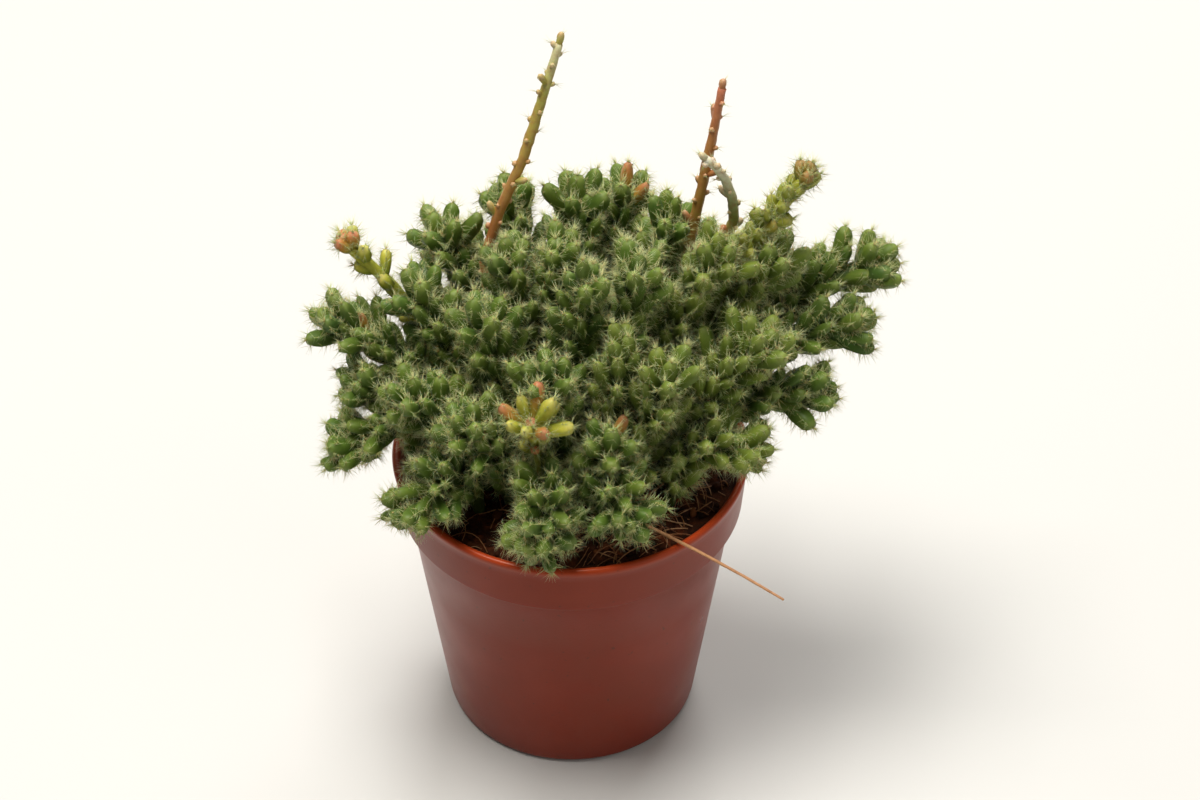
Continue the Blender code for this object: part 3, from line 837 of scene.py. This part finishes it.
def growthParts(tree):
    # The place along a branchlet, its own chance shade, how young it is, and its ribs.
    stored = addNode(tree, "ShaderNodeAttribute", attribute_name="growth")
    split = tree.nodes.new("ShaderNodeSeparateColor")
    tree.links.new(stored.outputs["Color"], split.inputs["Color"])
    return split.outputs[0], split.outputs[1], split.outputs[2], stored.outputs["Alpha"]


def greenSkin():
    # Waxy green skin, pale at the tips and darkened towards the stem with painted shade, with yellow and orange new
    # growth.
    material, tree = newMaterial("green_skin")
    tone, chance, youth, crest = growthParts(tree)
    # Painted shade: the green runs from near black at a branchlet's root, deep in the bush, to pale at its tip.
    stemShadedGreen = colourRamp(tree, (
        (0.0, (0.005, 0.011, 0.002)), (0.35, (0.015, 0.037, 0.005)), (0.62, (0.036, 0.088, 0.009)),
        (0.88, (0.068, 0.138, 0.016)), (1.0, (0.19, 0.25, 0.055))), tone)
    skin = tinted(tree, stemShadedGreen, (0.100, 0.158, 0.016), chance, 0.0, 0.5, 0.45)
    skin = tinted(tree, skin, (0.026, 0.066, 0.014), chance, 0.0, 0.22, 0.0, 0.4)
    yellow = colourRamp(tree, (
        (0.0, (0.12, 0.17, 0.015)), (0.45, (0.36, 0.39, 0.035)), (0.80, (0.55, 0.52, 0.06)),
        (1.0, (0.64, 0.56, 0.14))), tone)
    orange = colourRamp(tree, (
        (0.0, (0.14, 0.17, 0.02)), (0.45, (0.44, 0.32, 0.04)), (0.75, (0.58, 0.24, 0.045)),
        (1.0, (0.60, 0.19, 0.11))), tone)
    skin = mixColours(tree, youth, skin, tinted(tree, yellow, orange, chance, 0.55, 0.75, 1.0))
    # Lighter rib crests: partly their own paler fuzz, partly a painted highlight where the ridges catch the light.
    ribs = addNode(tree, "ShaderNodeMath", {1: 2.0}, operation="POWER")
    tree.links.new(crest, ribs.inputs[0])
    skin = tinted(tree, skin, (0.17, 0.25, 0.06), ribs.outputs[0], 0.0, 1.0, 0.30)
    mottle = noiseAt(tree, 900.0, 5.0)
    skin = tinted(tree, skin, (0.02, 0.035, 0.008), mottle, 0.35, 0.7, 0.28)
    skin = tinted(tree, skin, (0.13, 0.175, 0.028), noiseAt(tree, 70.0, 2.0), 0.45, 0.7, 0.3)
    return dressed(material, skin, (mottle, 0.3, 0.7, 0.40, 0.60), {
        "Subsurface Weight": 0.14, "Subsurface Radius": (0.5, 1.0, 0.2), "Subsurface Scale": 0.0012,
        "Specular IOR Level": 0.24, "Sheen Weight": 0.06, "Sheen Roughness": 0.35,
        "Sheen Tint": (0.8, 0.9, 0.6, 1.0),
    }, (mottle, 0.25, 0.0002))


def bristleHair():
    # Pale bristles, greener at the root, some of them dry and tan.
    material, tree = newMaterial("bristle_hair")
    tone, chance, _, _ = growthParts(tree)
    hair = colourRamp(tree, ((0.0, (0.24, 0.27, 0.07)), (0.35, (0.39, 0.44, 0.16)), (1.0, (0.60, 0.64, 0.33))), tone)
    hair = tinted(tree, hair, (0.52, 0.42, 0.24), chance, 0.6, 1.0, 0.5)
    roughness = chance, 0.0, 1.0, 0.35, 0.55
    return dressed(material, hair, roughness, {"Subsurface Weight": 0.2, "Subsurface Scale": 0.0004})


def shootSkin(name, stops):
    # The colours of one long shoot from the soil to its tip.
    material, tree = newMaterial(name)
    tone, _, youth, _ = growthParts(tree)
    mottle = noiseAt(tree, 1100.0, 4.0)
    skin = tinted(tree, colourRamp(tree, stops, youth), (0.30, 0.085, 0.03), mottle, 0.38, 0.68, 0.45)
    skin = tinted(tree, skin, (0.66, 0.42, 0.26), tone, 0.55, 1.0, 0.5)
    return dressed(material, skin, (mottle, 0.3, 0.7, 0.38, 0.58), {
        "Subsurface Weight": 0.15, "Subsurface Radius": (1.0, 0.6, 0.2), "Subsurface Scale": 0.001,
    }, (mottle, 0.3, 0.0002))


def potPlastic():
    # Moulded terracotta-coloured plastic, with a painted highlight that brightens the top of the lip, and dust and
    # specks of soil.
    material, tree = newMaterial("pot_plastic")
    place = tree.nodes.new("ShaderNodeTexCoord")
    split = tree.nodes.new("ShaderNodeSeparateXYZ")
    tree.links.new(place.outputs["Object"], split.inputs["Vector"])
    clouds = noiseAt(tree, 60.0, 4.0)
    specks = noiseAt(tree, 1300.0, 2.0, 0.4)
    plastic = tinted(tree, (0.223, 0.024, 0.007), (0.171, 0.017, 0.005), clouds, 0.3, 0.7, 1.0)
    # Painted highlight: the top 1.6 mm of the lip is made brighter, as where it catches the light.
    plastic = tinted(tree, plastic, (0.399, 0.050, 0.011), split.outputs["Z"], (potTop - 1.6) * mm, potTop * mm, 0.8)
    plastic = tinted(tree, plastic, (0.323, 0.120, 0.070), clouds, 0.5, 0.75, 0.10)
    plastic = tinted(tree, plastic, (0.048, 0.018, 0.008), specks, 0.72, 0.76, 0.6)
    return dressed(material, plastic, (clouds, 0.3, 0.75, 0.27, 0.42), {
        "Subsurface Weight": 0.06, "Subsurface Radius": (1.0, 0.3, 0.15), "Subsurface Scale": 0.0015,
        "Specular IOR Level": 0.26, "Specular Tint": (1.0, 0.74, 0.62, 1.0),
    }, (noiseAt(tree, 2600.0, 3.0), 0.10, 0.0001))


def peatMatter():
    # Dark damp peat with brown and orange bits.
    material, tree = newMaterial("peat_matter")
    tone, chance, _, _ = growthParts(tree)
    fine = noiseAt(tree, 2400.0, 5.0, 0.7)
    peat = colourRamp(tree, (
        (0.30, (0.010, 0.002, 0.001)), (0.46, (0.040, 0.010, 0.002)), (0.60, (0.104, 0.024, 0.006)),
        (0.76, (0.238, 0.057, 0.013))), noiseAt(tree, 420.0, 6.0, 0.7))
    peat = tinted(tree, peat, (0.219, 0.064, 0.019), fine, 0.62, 0.78, 0.7)
    crumb = colourRamp(tree, (
        (0.0, (0.012, 0.004, 0.002)), (0.6, (0.050, 0.014, 0.005)), (0.85, (0.120, 0.034, 0.010)),
        (1.0, (0.259, 0.087, 0.027))), chance)
    peat = tinted(tree, peat, crumb, tone, 0.4, 0.6, 0.8)
    return dressed(material, peat, (fine, 0.3, 0.7, 0.72, 0.98), {"Specular IOR Level": 0.2}, (fine, 0.7, 0.0005))


def coirFibre():
    # Dry plant fibre, from tan to orange-brown.
    material, tree = newMaterial("coir_fibre_skin")
    _, chance, _, _ = growthParts(tree)
    streaks = noiseAt(tree, 1500.0, 4.0)
    fibre = colourRamp(tree, (
        (0.0, (0.12, 0.038, 0.012)), (0.45, (0.30, 0.11, 0.032)), (0.8, (0.46, 0.21, 0.08)),
        (1.0, (0.58, 0.33, 0.17))), chance)
    fibre = tinted(tree, fibre, (0.20, 0.075, 0.03), streaks, 0.35, 0.7, 0.5)
    return dressed(material, fibre, (streaks, 0.3, 0.7, 0.5, 0.8), {}, (streaks, 0.4, 0.0002))


def wallRadius(z):
    # The pot's outer radius under the collar.
    topRadius = potSizes["rimRadius"] - potSizes["collarTaper"] - potSizes["stepIn"]
    return potSizes["baseRadius"] + (topRadius - potSizes["baseRadius"]) * z / collarStep


def circle(radius, sectors):
    # Points around a circle.
    angles = [math.tau * j / sectors for j in range(sectors)]
    return [(radius * math.cos(angle), radius * math.sin(angle)) for angle in angles]


def closedFaces(rings, sectors, flip):
    # The quads between rings and the caps at both ends, whose centre points come last. The caps' faces look out.
    quads = [tuple(quad[k] for k in flip) for quad in ringFaces(rings, sectors)]
    last = (rings - 1) * sectors
    return quads, capFaces(0, sectors, rings * sectors) + capFaces(last, sectors, rings * sectors + 1, flip=True)


def arcPoints(centre, radius, start, end, count):
    # Points of an arc, from one angle to another in degrees.
    angles = [math.radians(start + (end - start) * k / (count - 1)) for k in range(count)]
    return [(centre[0] + radius * math.cos(a), centre[1] + radius * math.sin(a)) for a in angles]


def makePot(skin):
    # The moulded shell with a rounded lip, a collar, a soft step and drain holes.
    rim, wall, floor, lip = (potSizes[name] for name in ("rimRadius", "wall", "floor", "lip"))
    step = collarStep
    collarFoot = rim - potSizes["collarTaper"]
    profile = [(0.0, floor), (wallRadius(floor) - wall - 1.0, floor)]
    profile += arcPoints((wallRadius(floor) - wall - 1.0, floor + 1.0), 1.0, -80.0, -10.0, 4)
    profile += [(wallRadius(step - 1.6) - wall, step - 1.6), (wallRadius(step - 0.9) - wall + 0.25, step - 0.6)]
    profile += [(collarFoot - wall - 0.2, step + 0.3), (collarFoot - wall, step + 1.0)]
    profile += [(rim - 0.35 - wall, potTop - 2.2)]
    profile += arcPoints((rim - lip, potTop - lip), lip, 178.0, 0.0, 11)
    profile += [(rim - 0.1, potTop - 1.1), (rim - 0.3, potTop - 1.7), (rim - 0.36, potTop - 2.6)]
    profile += [(collarFoot + 0.02, step + 0.7)]
    profile += arcPoints((collarFoot - 0.45, step + 0.45), 0.45, 0.0, -80.0, 5)
    profile += [(wallRadius(step) + 0.25, step - 0.02), (wallRadius(step - 0.4), step - 0.35)]
    profile += [(wallRadius(28.0), 28.0), (wallRadius(14.0), 14.0), (wallRadius(1.3), 1.3)]
    profile += arcPoints((potSizes["baseRadius"] - 0.8, 0.8), 0.8, -5.0, -90.0, 6)
    profile += [(15.8, 0.0), (15.4, 0.35), (9.0, 0.35), (8.6, 0.0), (0.0, 0.0)]
    sectors = potSizes["sectors"]
    points = [(x, y, z) for radius, z in profile[1:-1] for x, y in circle(radius, sectors)]
    points += [(0.0, 0.0, floor), (0.0, 0.0, 0.0)]
    pile = MeshPile()
    pile.add(points, *closedFaces(len(profile) - 2, sectors, (0, 3, 2, 1)), (0.5, 0.5, 0.0, 0.0))
    pot = pile.build("pot_shell", [skin], smoothLimit=40.0)
    holes = bpy.data.collections.new("drain_cutters")
    bpy.context.scene.collection.children.link(holes)
    for k in range(potSizes["drainHoles"]):
        angle = math.tau * (k + 0.5) / potSizes["drainHoles"]
        spot = Vector((math.cos(angle), math.sin(angle), 0.0)) * potSizes["drainCircle"] * mm
        radius = potSizes["drainRadius"] * mm
        bpy.ops.mesh.primitive_cylinder_add(vertices=32, radius=radius, depth=8.0 * mm, location=spot)
        cutter = bpy.context.object
        holes.objects.link(cutter)
    cut = pot.modifiers.new("drains", "BOOLEAN")
    cut.operand_type = "COLLECTION"
    cut.collection = holes
    bpy.context.view_layer.update()
    mesh = bpy.data.meshes.new_from_object(pot.evaluated_get(bpy.context.evaluated_depsgraph_get()))
    pot.modifiers.clear()
    pot.data = mesh
    mesh.materials.clear()
    mesh.materials.append(skin)
    for cutter in list(holes.objects):
        bpy.data.objects.remove(cutter, do_unlink=True)
    bpy.data.collections.remove(holes)
    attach(pot, "root")
    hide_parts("pot")


def soilHeight(x, y):
    # The soil's top, with a slight rise in the middle and rough lumps.
    lumps = noise.noise(Vector((x, y, 0.0)) * 0.22) + 0.5 * noise.noise(Vector((x, y, 9.0)) * 0.55)
    rise = soilSizes["rise"] * (1.0 - math.hypot(x, y) / potSizes["rimRadius"])
    return soilTop + rise + soilSizes["relief"] * lumps


def makeSoil(peat, fibreSkin):
    # The plug of peat, with crumbs and loose fibres on its top.
    rng = np.random.default_rng(seed)
    draw = random.Random(seed + 3)
    pile = MeshPile()
    rings = soilSizes["rings"]
    sectors = soilSizes["sectors"]
    gap = potSizes["wall"] + soilSizes["clearance"]
    bottom = potSizes["floor"] + 0.2
    topRadius = potSizes["rimRadius"] - potSizes["collarTaper"] - gap + 0.25
    points = []
    for k in range(1, rings + 1):
        for x, y in circle(topRadius * k / rings, sectors):
            rough = 0.32 * noise.noise(Vector((x, y, 4.0)) * 1.3) + 0.16 * noise.noise(Vector((x, y, 7.0)) * 3.1)
            points.append((x, y, soilHeight(x, y) + rough))
    side = (
        (potSizes["rimRadius"] - potSizes["collarTaper"] - gap, collarStep + 0.6),
        (wallRadius(collarStep - 1.6) - gap, collarStep - 1.6),
        (wallRadius(bottom + 1.0) - gap, bottom + 1.0),
        (wallRadius(bottom) - gap - 1.1, bottom),
    )
    points += [(x, y, z) for radius, z in side for x, y in circle(radius, sectors)]
    points += [(0.0, 0.0, soilHeight(0.0, 0.0)), (0.0, 0.0, bottom)]
    pile.add(points, *closedFaces(rings + len(side), sectors, (3, 2, 1, 0)), (0.0, 0.5, 0.0, 0.0))
    lump = lumpShape()
    for _ in range(soilSizes["crumbs"]):
        reach = topRadius * 0.97 * math.sqrt(draw.random())
        angle = draw.uniform(0.0, math.tau)
        x = reach * math.cos(angle)
        y = reach * math.sin(angle)
        size = draw.uniform(*soilSizes["crumbSize"]) * (1.0 if draw.random() < 0.85 else 1.6)
        stretch = np.array([draw.uniform(*limits) for limits in soilSizes["crumbStretch"]]) * size
        shape = lump[0] * (1.0 + rng.normal(0.0, soilSizes["crumbRough"], (len(lump[0]), 1))) * stretch
        place = np.array([x, y, soilHeight(x, y) + 0.25 * size])
        pile.add(shape + place, [], lump[1], (1.0, draw.random(), 0.0, 0.0))
    for k in range(soilSizes["fibres"]):
        reach = topRadius * 0.93 * math.sqrt(draw.random())
        angle = draw.uniform(0.0, math.tau)
        if k % 3 == 0:  # Every third one lies in front, where the peat shows most.
            angle = draw.uniform(-1.9, -0.1)
            reach = topRadius * draw.uniform(0.55, 0.93)
        addFibre(pile, draw, rng, reach * math.cos(angle), reach * math.sin(angle), topRadius)
    addLooseFibre(pile, rng)
    soil = pile.build("soil_plug", [peat, fibreSkin])
    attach(soil, "root")
    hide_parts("soil")


# The second loose fibre: where it starts, how far it runs, how it sways and arches over the peat, and its radius.
looseFibre = {"start": (7.5, -14.5), "run": (17.0, 15.5), "sway": 1.5, "over": 0.5, "arch": 1.6, "radius": 0.17}


def addLooseFibre(pile, rng):
    # A second long fibre that lies over the peat towards the right.
    (startX, startY), (runX, runY) = looseFibre["start"], looseFibre["run"]
    way = []
    for k in range(15):
        share = k / 14
        bow = math.sin(math.pi * share)
        x = startX + runX * share
        y = startY + runY * share + looseFibre["sway"] * bow
        way.append((x, y, soilHeight(x, y) + looseFibre["over"] + looseFibre["arch"] * bow))
    addTube(pile, way, [looseFibre["radius"]] * len(way), 6, lambda s: (0.5, 0.8, 0.0, 0.0), rng, material=1)


def lumpShape():
    # A rough little lump: the points and faces of a twenty-sided ball.
    ball = bmesh.new()
    bmesh.ops.create_icosphere(ball, subdivisions=1, radius=1.0)
    points = np.array([corner.co[:] for corner in ball.verts])
    tris = [tuple(corner.index for corner in face.verts) for face in ball.faces]
    ball.free()
    return points, tris


def addFibre(pile, draw, rng, x, y, limit):
    # One thin loose fibre that lies over the peat.
    heading = draw.uniform(0.0, math.tau)
    length = draw.uniform(*soilSizes["fibreLength"])
    curl = draw.uniform(-0.22, 0.22)
    lift = draw.uniform(0.0, 1.1)
    radius = draw.uniform(*soilSizes["fibreRadius"])
    steps = 7
    way = []
    for k in range(steps):
        share = k / (steps - 1)
        way.append((x, y, soilHeight(x, y) + 0.15 + lift * math.sin(math.pi * share)))
        x += math.cos(heading) * length / steps
        y += math.sin(heading) * length / steps
        heading += curl + draw.uniform(-0.12, 0.12)
        if math.hypot(x, y) > limit - 0.6:
            break
    if len(way) < 4:
        return
    shade = draw.random()
    addTube(pile, way, [radius] * len(way), 4, lambda s: (0.5, shade, 0.0, 0.0), rng, material=1)


shootColours = {
    "a": ((0.0, (0.08, 0.12, 0.02)), (0.42, (0.25, 0.12, 0.03)), (0.56, (0.36, 0.12, 0.03)),
          (0.72, (0.40, 0.23, 0.04)), (0.90, (0.36, 0.35, 0.06)), (1.0, (0.62, 0.60, 0.34))),
    "b": ((0.0, (0.06, 0.11, 0.02)), (0.50, (0.12, 0.17, 0.03)), (0.66, (0.25, 0.18, 0.03)),
          (0.86, (0.38, 0.17, 0.035)), (1.0, (0.50, 0.17, 0.09))),
    "c": ((0.0, (0.06, 0.11, 0.02)), (0.48, (0.20, 0.22, 0.04)), (0.64, (0.46, 0.27, 0.04)),
          (0.80, (0.27, 0.32, 0.10)), (1.0, (0.76, 0.74, 0.56))),
}
# The open cluster of young fingers in front: heading and length of each, from the tip of its stalk.
frontFingers = (
    ((0.95, -0.35, 0.30), 6.2), ((0.55, -0.10, 0.95), 6.0), ((0.15, 0.30, 1.0), 6.6), ((-0.35, 0.25, 1.0), 5.2),
    ((-0.95, 0.05, 0.75), 5.6), ((-0.85, -0.55, 0.55), 4.6), ((-0.20, -0.75, 0.55), 4.6), ((0.40, -0.80, 0.45), 4.8),
    ((0.75, 0.45, 0.65), 5.0),
)
fingerSizes = {"longer": 1.1, "radius": (1.05, 1.3)}
# How young each spray is, and how young the leafy stems, the brighter ones among them and their new tips are.
sprayYouth = {"front": (0.8, 1.0), "left": (0.75, 1.0), "right": (0.35, 0.65)}
leafyYouth = {"all": (0.0, 0.09), "brighter": 0.08, "newTips": 0.8}
# Side buds of the arching shoot: height over the rim, heading, length and radius.
sideBuds = (
    (31.5, (-1.0, -0.3, 0.75), 4.2, 0.95), (33.5, (-0.9, -0.6, 0.5), 3.0, 0.8), (36.0, (-0.5, -0.6, 0.9), 2.6, 0.7),
)
shootLook = {
    "footBare": 25.0,
    "budSpacing": (1.2, 1.9),
    "budStandOut": (0.25, 0.75),
    "budRadius": (0.34, 0.5),
    "budForward": 0.55,
    "budHairs": 6,
    "budJitter": 0.45,
    "tipHairs": 26,
    "tipJitter": 0.4,
    "hairLength": (0.7, 1.9),
}


def leafyShades(plant, rng):
    # How young each branchlet of a leafy stem is, and its chance shade.
    youth = rng.uniform(*leafyYouth["all"], len(plant["fine"]))
    chance = rng.uniform(0.0, 0.5, len(plant["fine"]))
    if plant["name"] in brightStems:
        youth += leafyYouth["brighter"]
        chance = 0.25 + 0.5 * chance
    youth[plant["newTips"]] = leafyYouth["newTips"]
    chance[plant["newTips"]] = 0.95
    return youth, chance


def sprayShades(plant, label, rng):
    # The same for a spray: mostly yellow, with a few orange ones.
    youth = rng.uniform(*sprayYouth[label], len(plant["fine"]))
    chance = rng.uniform(0.0, 1.0, len(plant["fine"]))
    if label == "front":
        return youth, np.where(chance > 0.86, 0.9, chance * 0.5)
    chance = 0.25 + 0.4 * chance
    chance[:4] = 0.9
    return youth, chance


def makeLeafyPiece(plant, index, skins):
    # A leafy stem or a spray with all its branchlets and bristles.
    rng = np.random.default_rng(seed * 1000 + index)
    pile = MeshPile()
    leafy = plant["kind"] == "leafy"
    label = plant["name"].rsplit("_", 1)[-1]
    way, radii = resample(plant, 1.0, 0.86 if leafy else 1.0)
    if label == "front":
        top = Vector(plant["way"][-1])
        for heading, length in frontFingers:
            length, radius = length * fingerSizes["longer"], rng.uniform(*fingerSizes["radius"])
            plant["fine"].append((top, Vector(heading).normalized(), length, radius))
    if leafy:
        # Painted shade: the stem's core takes the darkest greens, as it stands in the shade inside the bush.
        addTube(pile, way, radii, 12, lambda s: (0.16 + 0.2 * s, 0.4, 0.0, 0.0), rng, rough=0.03)
        youth, chance = leafyShades(plant, rng)
    else:
        high = sprayYouth[label][1]
        addTube(pile, way, radii, 12, lambda s: (0.45 + 0.25 * s, 0.5, high * s**2, 0.0), rng, rough=0.03)
        youth, chance = sprayShades(plant, label, rng)
    spin, bend = addBranchlets(pile, plant["fine"], youth, rng, chance=chance)
    addBristles(pile, plant["fine"], spin, bend, rng)
    piece = pile.build(plant["name"] + "_fine", [skins["green"], skins["bristle"]])
    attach(piece, "root")
    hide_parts(plant["name"])


def makeShootPiece(plant, index, skins):
    # A long slender shoot with small buds and bristles at its areoles.
    rng = np.random.default_rng(seed * 1000 + index)
    label = plant["name"].rsplit("_", 1)[-1]
    pile = MeshPile()
    way, radii = resample(plant, 0.8)
    radii = [r * (1.0 - 0.25 * max(k / len(way) - 0.8, 0.0) / 0.2) for k, r in enumerate(radii)]
    addTube(pile, way, radii, 14, lambda s: (0.3, 0.5, s, 0.0), rng, rough=0.05)
    total = wayLength(plant["way"])
    buds = []
    shares = []
    turn = 0.0
    distance = shootLook["footBare"]
    while distance < total - 0.6:
        root, ahead, _ = along(plant["way"], distance)
        heading = (ahead * shootLook["budForward"] + sideAt(ahead, turn)).normalized()
        length = plant["stem"] + rng.uniform(*shootLook["budStandOut"])
        buds.append((root, heading, length, rng.uniform(*shootLook["budRadius"])))
        shares.append(distance / total)
        turn += stemSizes["goldenAngle"]
        distance += rng.uniform(*shootLook["budSpacing"])
    buds += plant["branchlets"]
    shares += [0.9] * len(plant["branchlets"])
    addBranchlets(pile, buds, np.array(shares), rng)
    if label == "c":
        points = [along(plant["way"], total * k / 200)[0] for k in range(201)]
        redBuds = []
        for height, heading, length, radius in sideBuds:
            root = min(points, key=lambda point: abs(point.z - potTop - height))
            redBuds.append((root, Vector(heading).normalized(), length, radius))
        addBranchlets(pile, redBuds, np.ones(len(redBuds)), rng, material=2, chance=np.ones(len(redBuds)))
        buds += redBuds
    tip, ahead, _ = along(plant["way"], total)
    tufts = [(root + heading * length * 0.95, heading, shootLook["budJitter"]) for root, heading, length, _ in buds]
    tufts = [tuft for tuft in tufts for _ in range(shootLook["budHairs"])]
    tufts += [(tip + ahead * 0.3, ahead, shootLook["tipJitter"])] * shootLook["tipHairs"]
    ways = np.array([np.array(heading) + rng.normal(0.0, jitter, 3) for _, heading, jitter in tufts])
    addHairs(pile, np.array([base for base, _, _ in tufts]), ways, shootLook["hairLength"], rng, 1)
    piece = pile.build(plant["name"] + "_fine", [skins["shoot_" + label], skins["bristle"], skins["green"]])
    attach(piece, "root")
    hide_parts(plant["name"])


# The long loose fibre: its points from the middle of the rim, its radius at the root and how much it thins.
longFibre = {
    "points": ((6.5, -12.2, -2.2), (9.0, -15.2, -0.4), (16.6, -22.0, 0.95), (24.5, -29.2, 1.9), (31.5, -36.0, 2.6)),
    "radius": 0.34,
    "thinning": 0.16,
}


def makeLongFibre(fibreSkin):
    # The long loose fibre that lies across the lip.
    rng = np.random.default_rng(seed + 8)
    way = smoothWay([Vector((x, y, potTop + z)) for x, y, z in longFibre["points"]], 8)
    radii = [longFibre["radius"] - longFibre["thinning"] * k / len(way) for k in range(len(way))]
    pile = MeshPile()
    addTube(pile, way, radii, 10, lambda s: (0.5, 0.86, 0.0, 0.0), rng, rough=0.06)
    piece = pile.build("coir_fibre_fine", [fibreSkin])
    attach(piece, "root")
    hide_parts("coir_fibre")


lightSetup = {
    "key": ((-0.16, 0.0, 0.82), 0.40, 8.1, (1.0, 0.97, 0.91)),
    "fill": ((0.60, -0.42, 0.42), 0.7, 1.2, (1.0, 0.98, 0.95)),
    "back": ((0.18, 0.60, 0.62), 0.5, 4.2, (1.0, 0.99, 0.96)),
    "sky": (0.65, 0.64, 0.59),
    "skyStrength": 0.25,
}


def lightStudio(target):
    # Three soft panels and an even sky.
    for name in ("key", "fill", "back"):
        place, size, power, colour = lightSetup[name]
        lamp = bpy.data.lights.new(name + "_panel", "AREA")
        lamp.shape = "SQUARE"
        lamp.size = size
        lamp.energy = power
        lamp.color = colour
        holder = newObject(name + "_panel", lamp)
        holder.location = place
        holder.rotation_euler = (target - Vector(place)).to_track_quat("-Z", "Y").to_euler()
    world = bpy.data.worlds.new("studio_sky")
    world.use_nodes = True
    sky = world.node_tree.nodes["Background"].inputs
    sky["Color"].default_value = (*lightSetup["sky"], 1.0)
    sky["Strength"].default_value = lightSetup["skyStrength"]
    bpy.context.scene.world = world


floorSetup = {
    "size": 6.0,
    "height": -0.0002,
    "roughness": 0.75,
    "pale": (0.64, 0.635, 0.62),
    "darker": (0.60, 0.595, 0.58),
}


def layFloor():
    # A plain pale floor.
    bpy.ops.mesh.primitive_plane_add(size=floorSetup["size"], location=(0.0, 0.0, floorSetup["height"]))
    floor = bpy.context.object
    floor.name = "studio_floor"
    material, tree = newMaterial("floor_paint")
    clouds = noiseAt(tree, 3.0, 3.0)
    paint = mixColours(tree, clouds, floorSetup["darker"], floorSetup["pale"])
    floor.data.materials.append(dressed(material, paint, None, {"Roughness": floorSetup["roughness"]}))


viewSetup = {"elevation": 41.5, "distance": 0.66, "lens": 130.0, "target": (4.5, 0.0, 59.0)}


def placeCamera():
    # The photograph's viewing angle and distance, with a longer lens that fills the picture.
    target = Vector(viewSetup["target"]) * mm
    tilt = math.radians(viewSetup["elevation"])
    back = Vector((0.0, -math.cos(tilt), math.sin(tilt))) * viewSetup["distance"]
    camera = bpy.data.cameras.new("photo_view")
    camera.lens = viewSetup["lens"]
    camera.sensor_width = 36.0
    camera.clip_start = 0.01
    holder = newObject("photo_view", camera)
    holder.location = target + back
    holder.rotation_euler = (-back).to_track_quat("-Z", "Y").to_euler()
    bpy.context.scene.camera = holder
    return target


skins = {
    "green": greenSkin(),
    "bristle": bristleHair(),
    "peat": peatMatter(),
    "fibre": coirFibre(),
    "plastic": potPlastic(),
}
for label, stops in shootColours.items():
    skins["shoot_" + label] = shootSkin("shoot_skin_" + label, stops)
print("materials made:", len(skins))

plants = planPlants()
settleBranchlets(plants)
coverStems(plants)
markNewTips(plants)
print("branchlets placed:", sum(len(plant["fine"]) for plant in plants))

for index, plant in enumerate(plants):
    if plant["kind"] == "shoot":
        makeShootPiece(plant, index, skins)
    else:
        makeLeafyPiece(plant, index, skins)
print("stems, sprays and shoots made:", len(plants))

makePot(skins["plastic"])
makeSoil(skins["peat"], skins["fibre"])
makeLongFibre(skins["fibre"])
print("pot, soil and fibre made")

layFloor()
lightStudio(placeCamera())
bpy.context.scene.view_settings.view_transform = "Standard"
print("studio set")
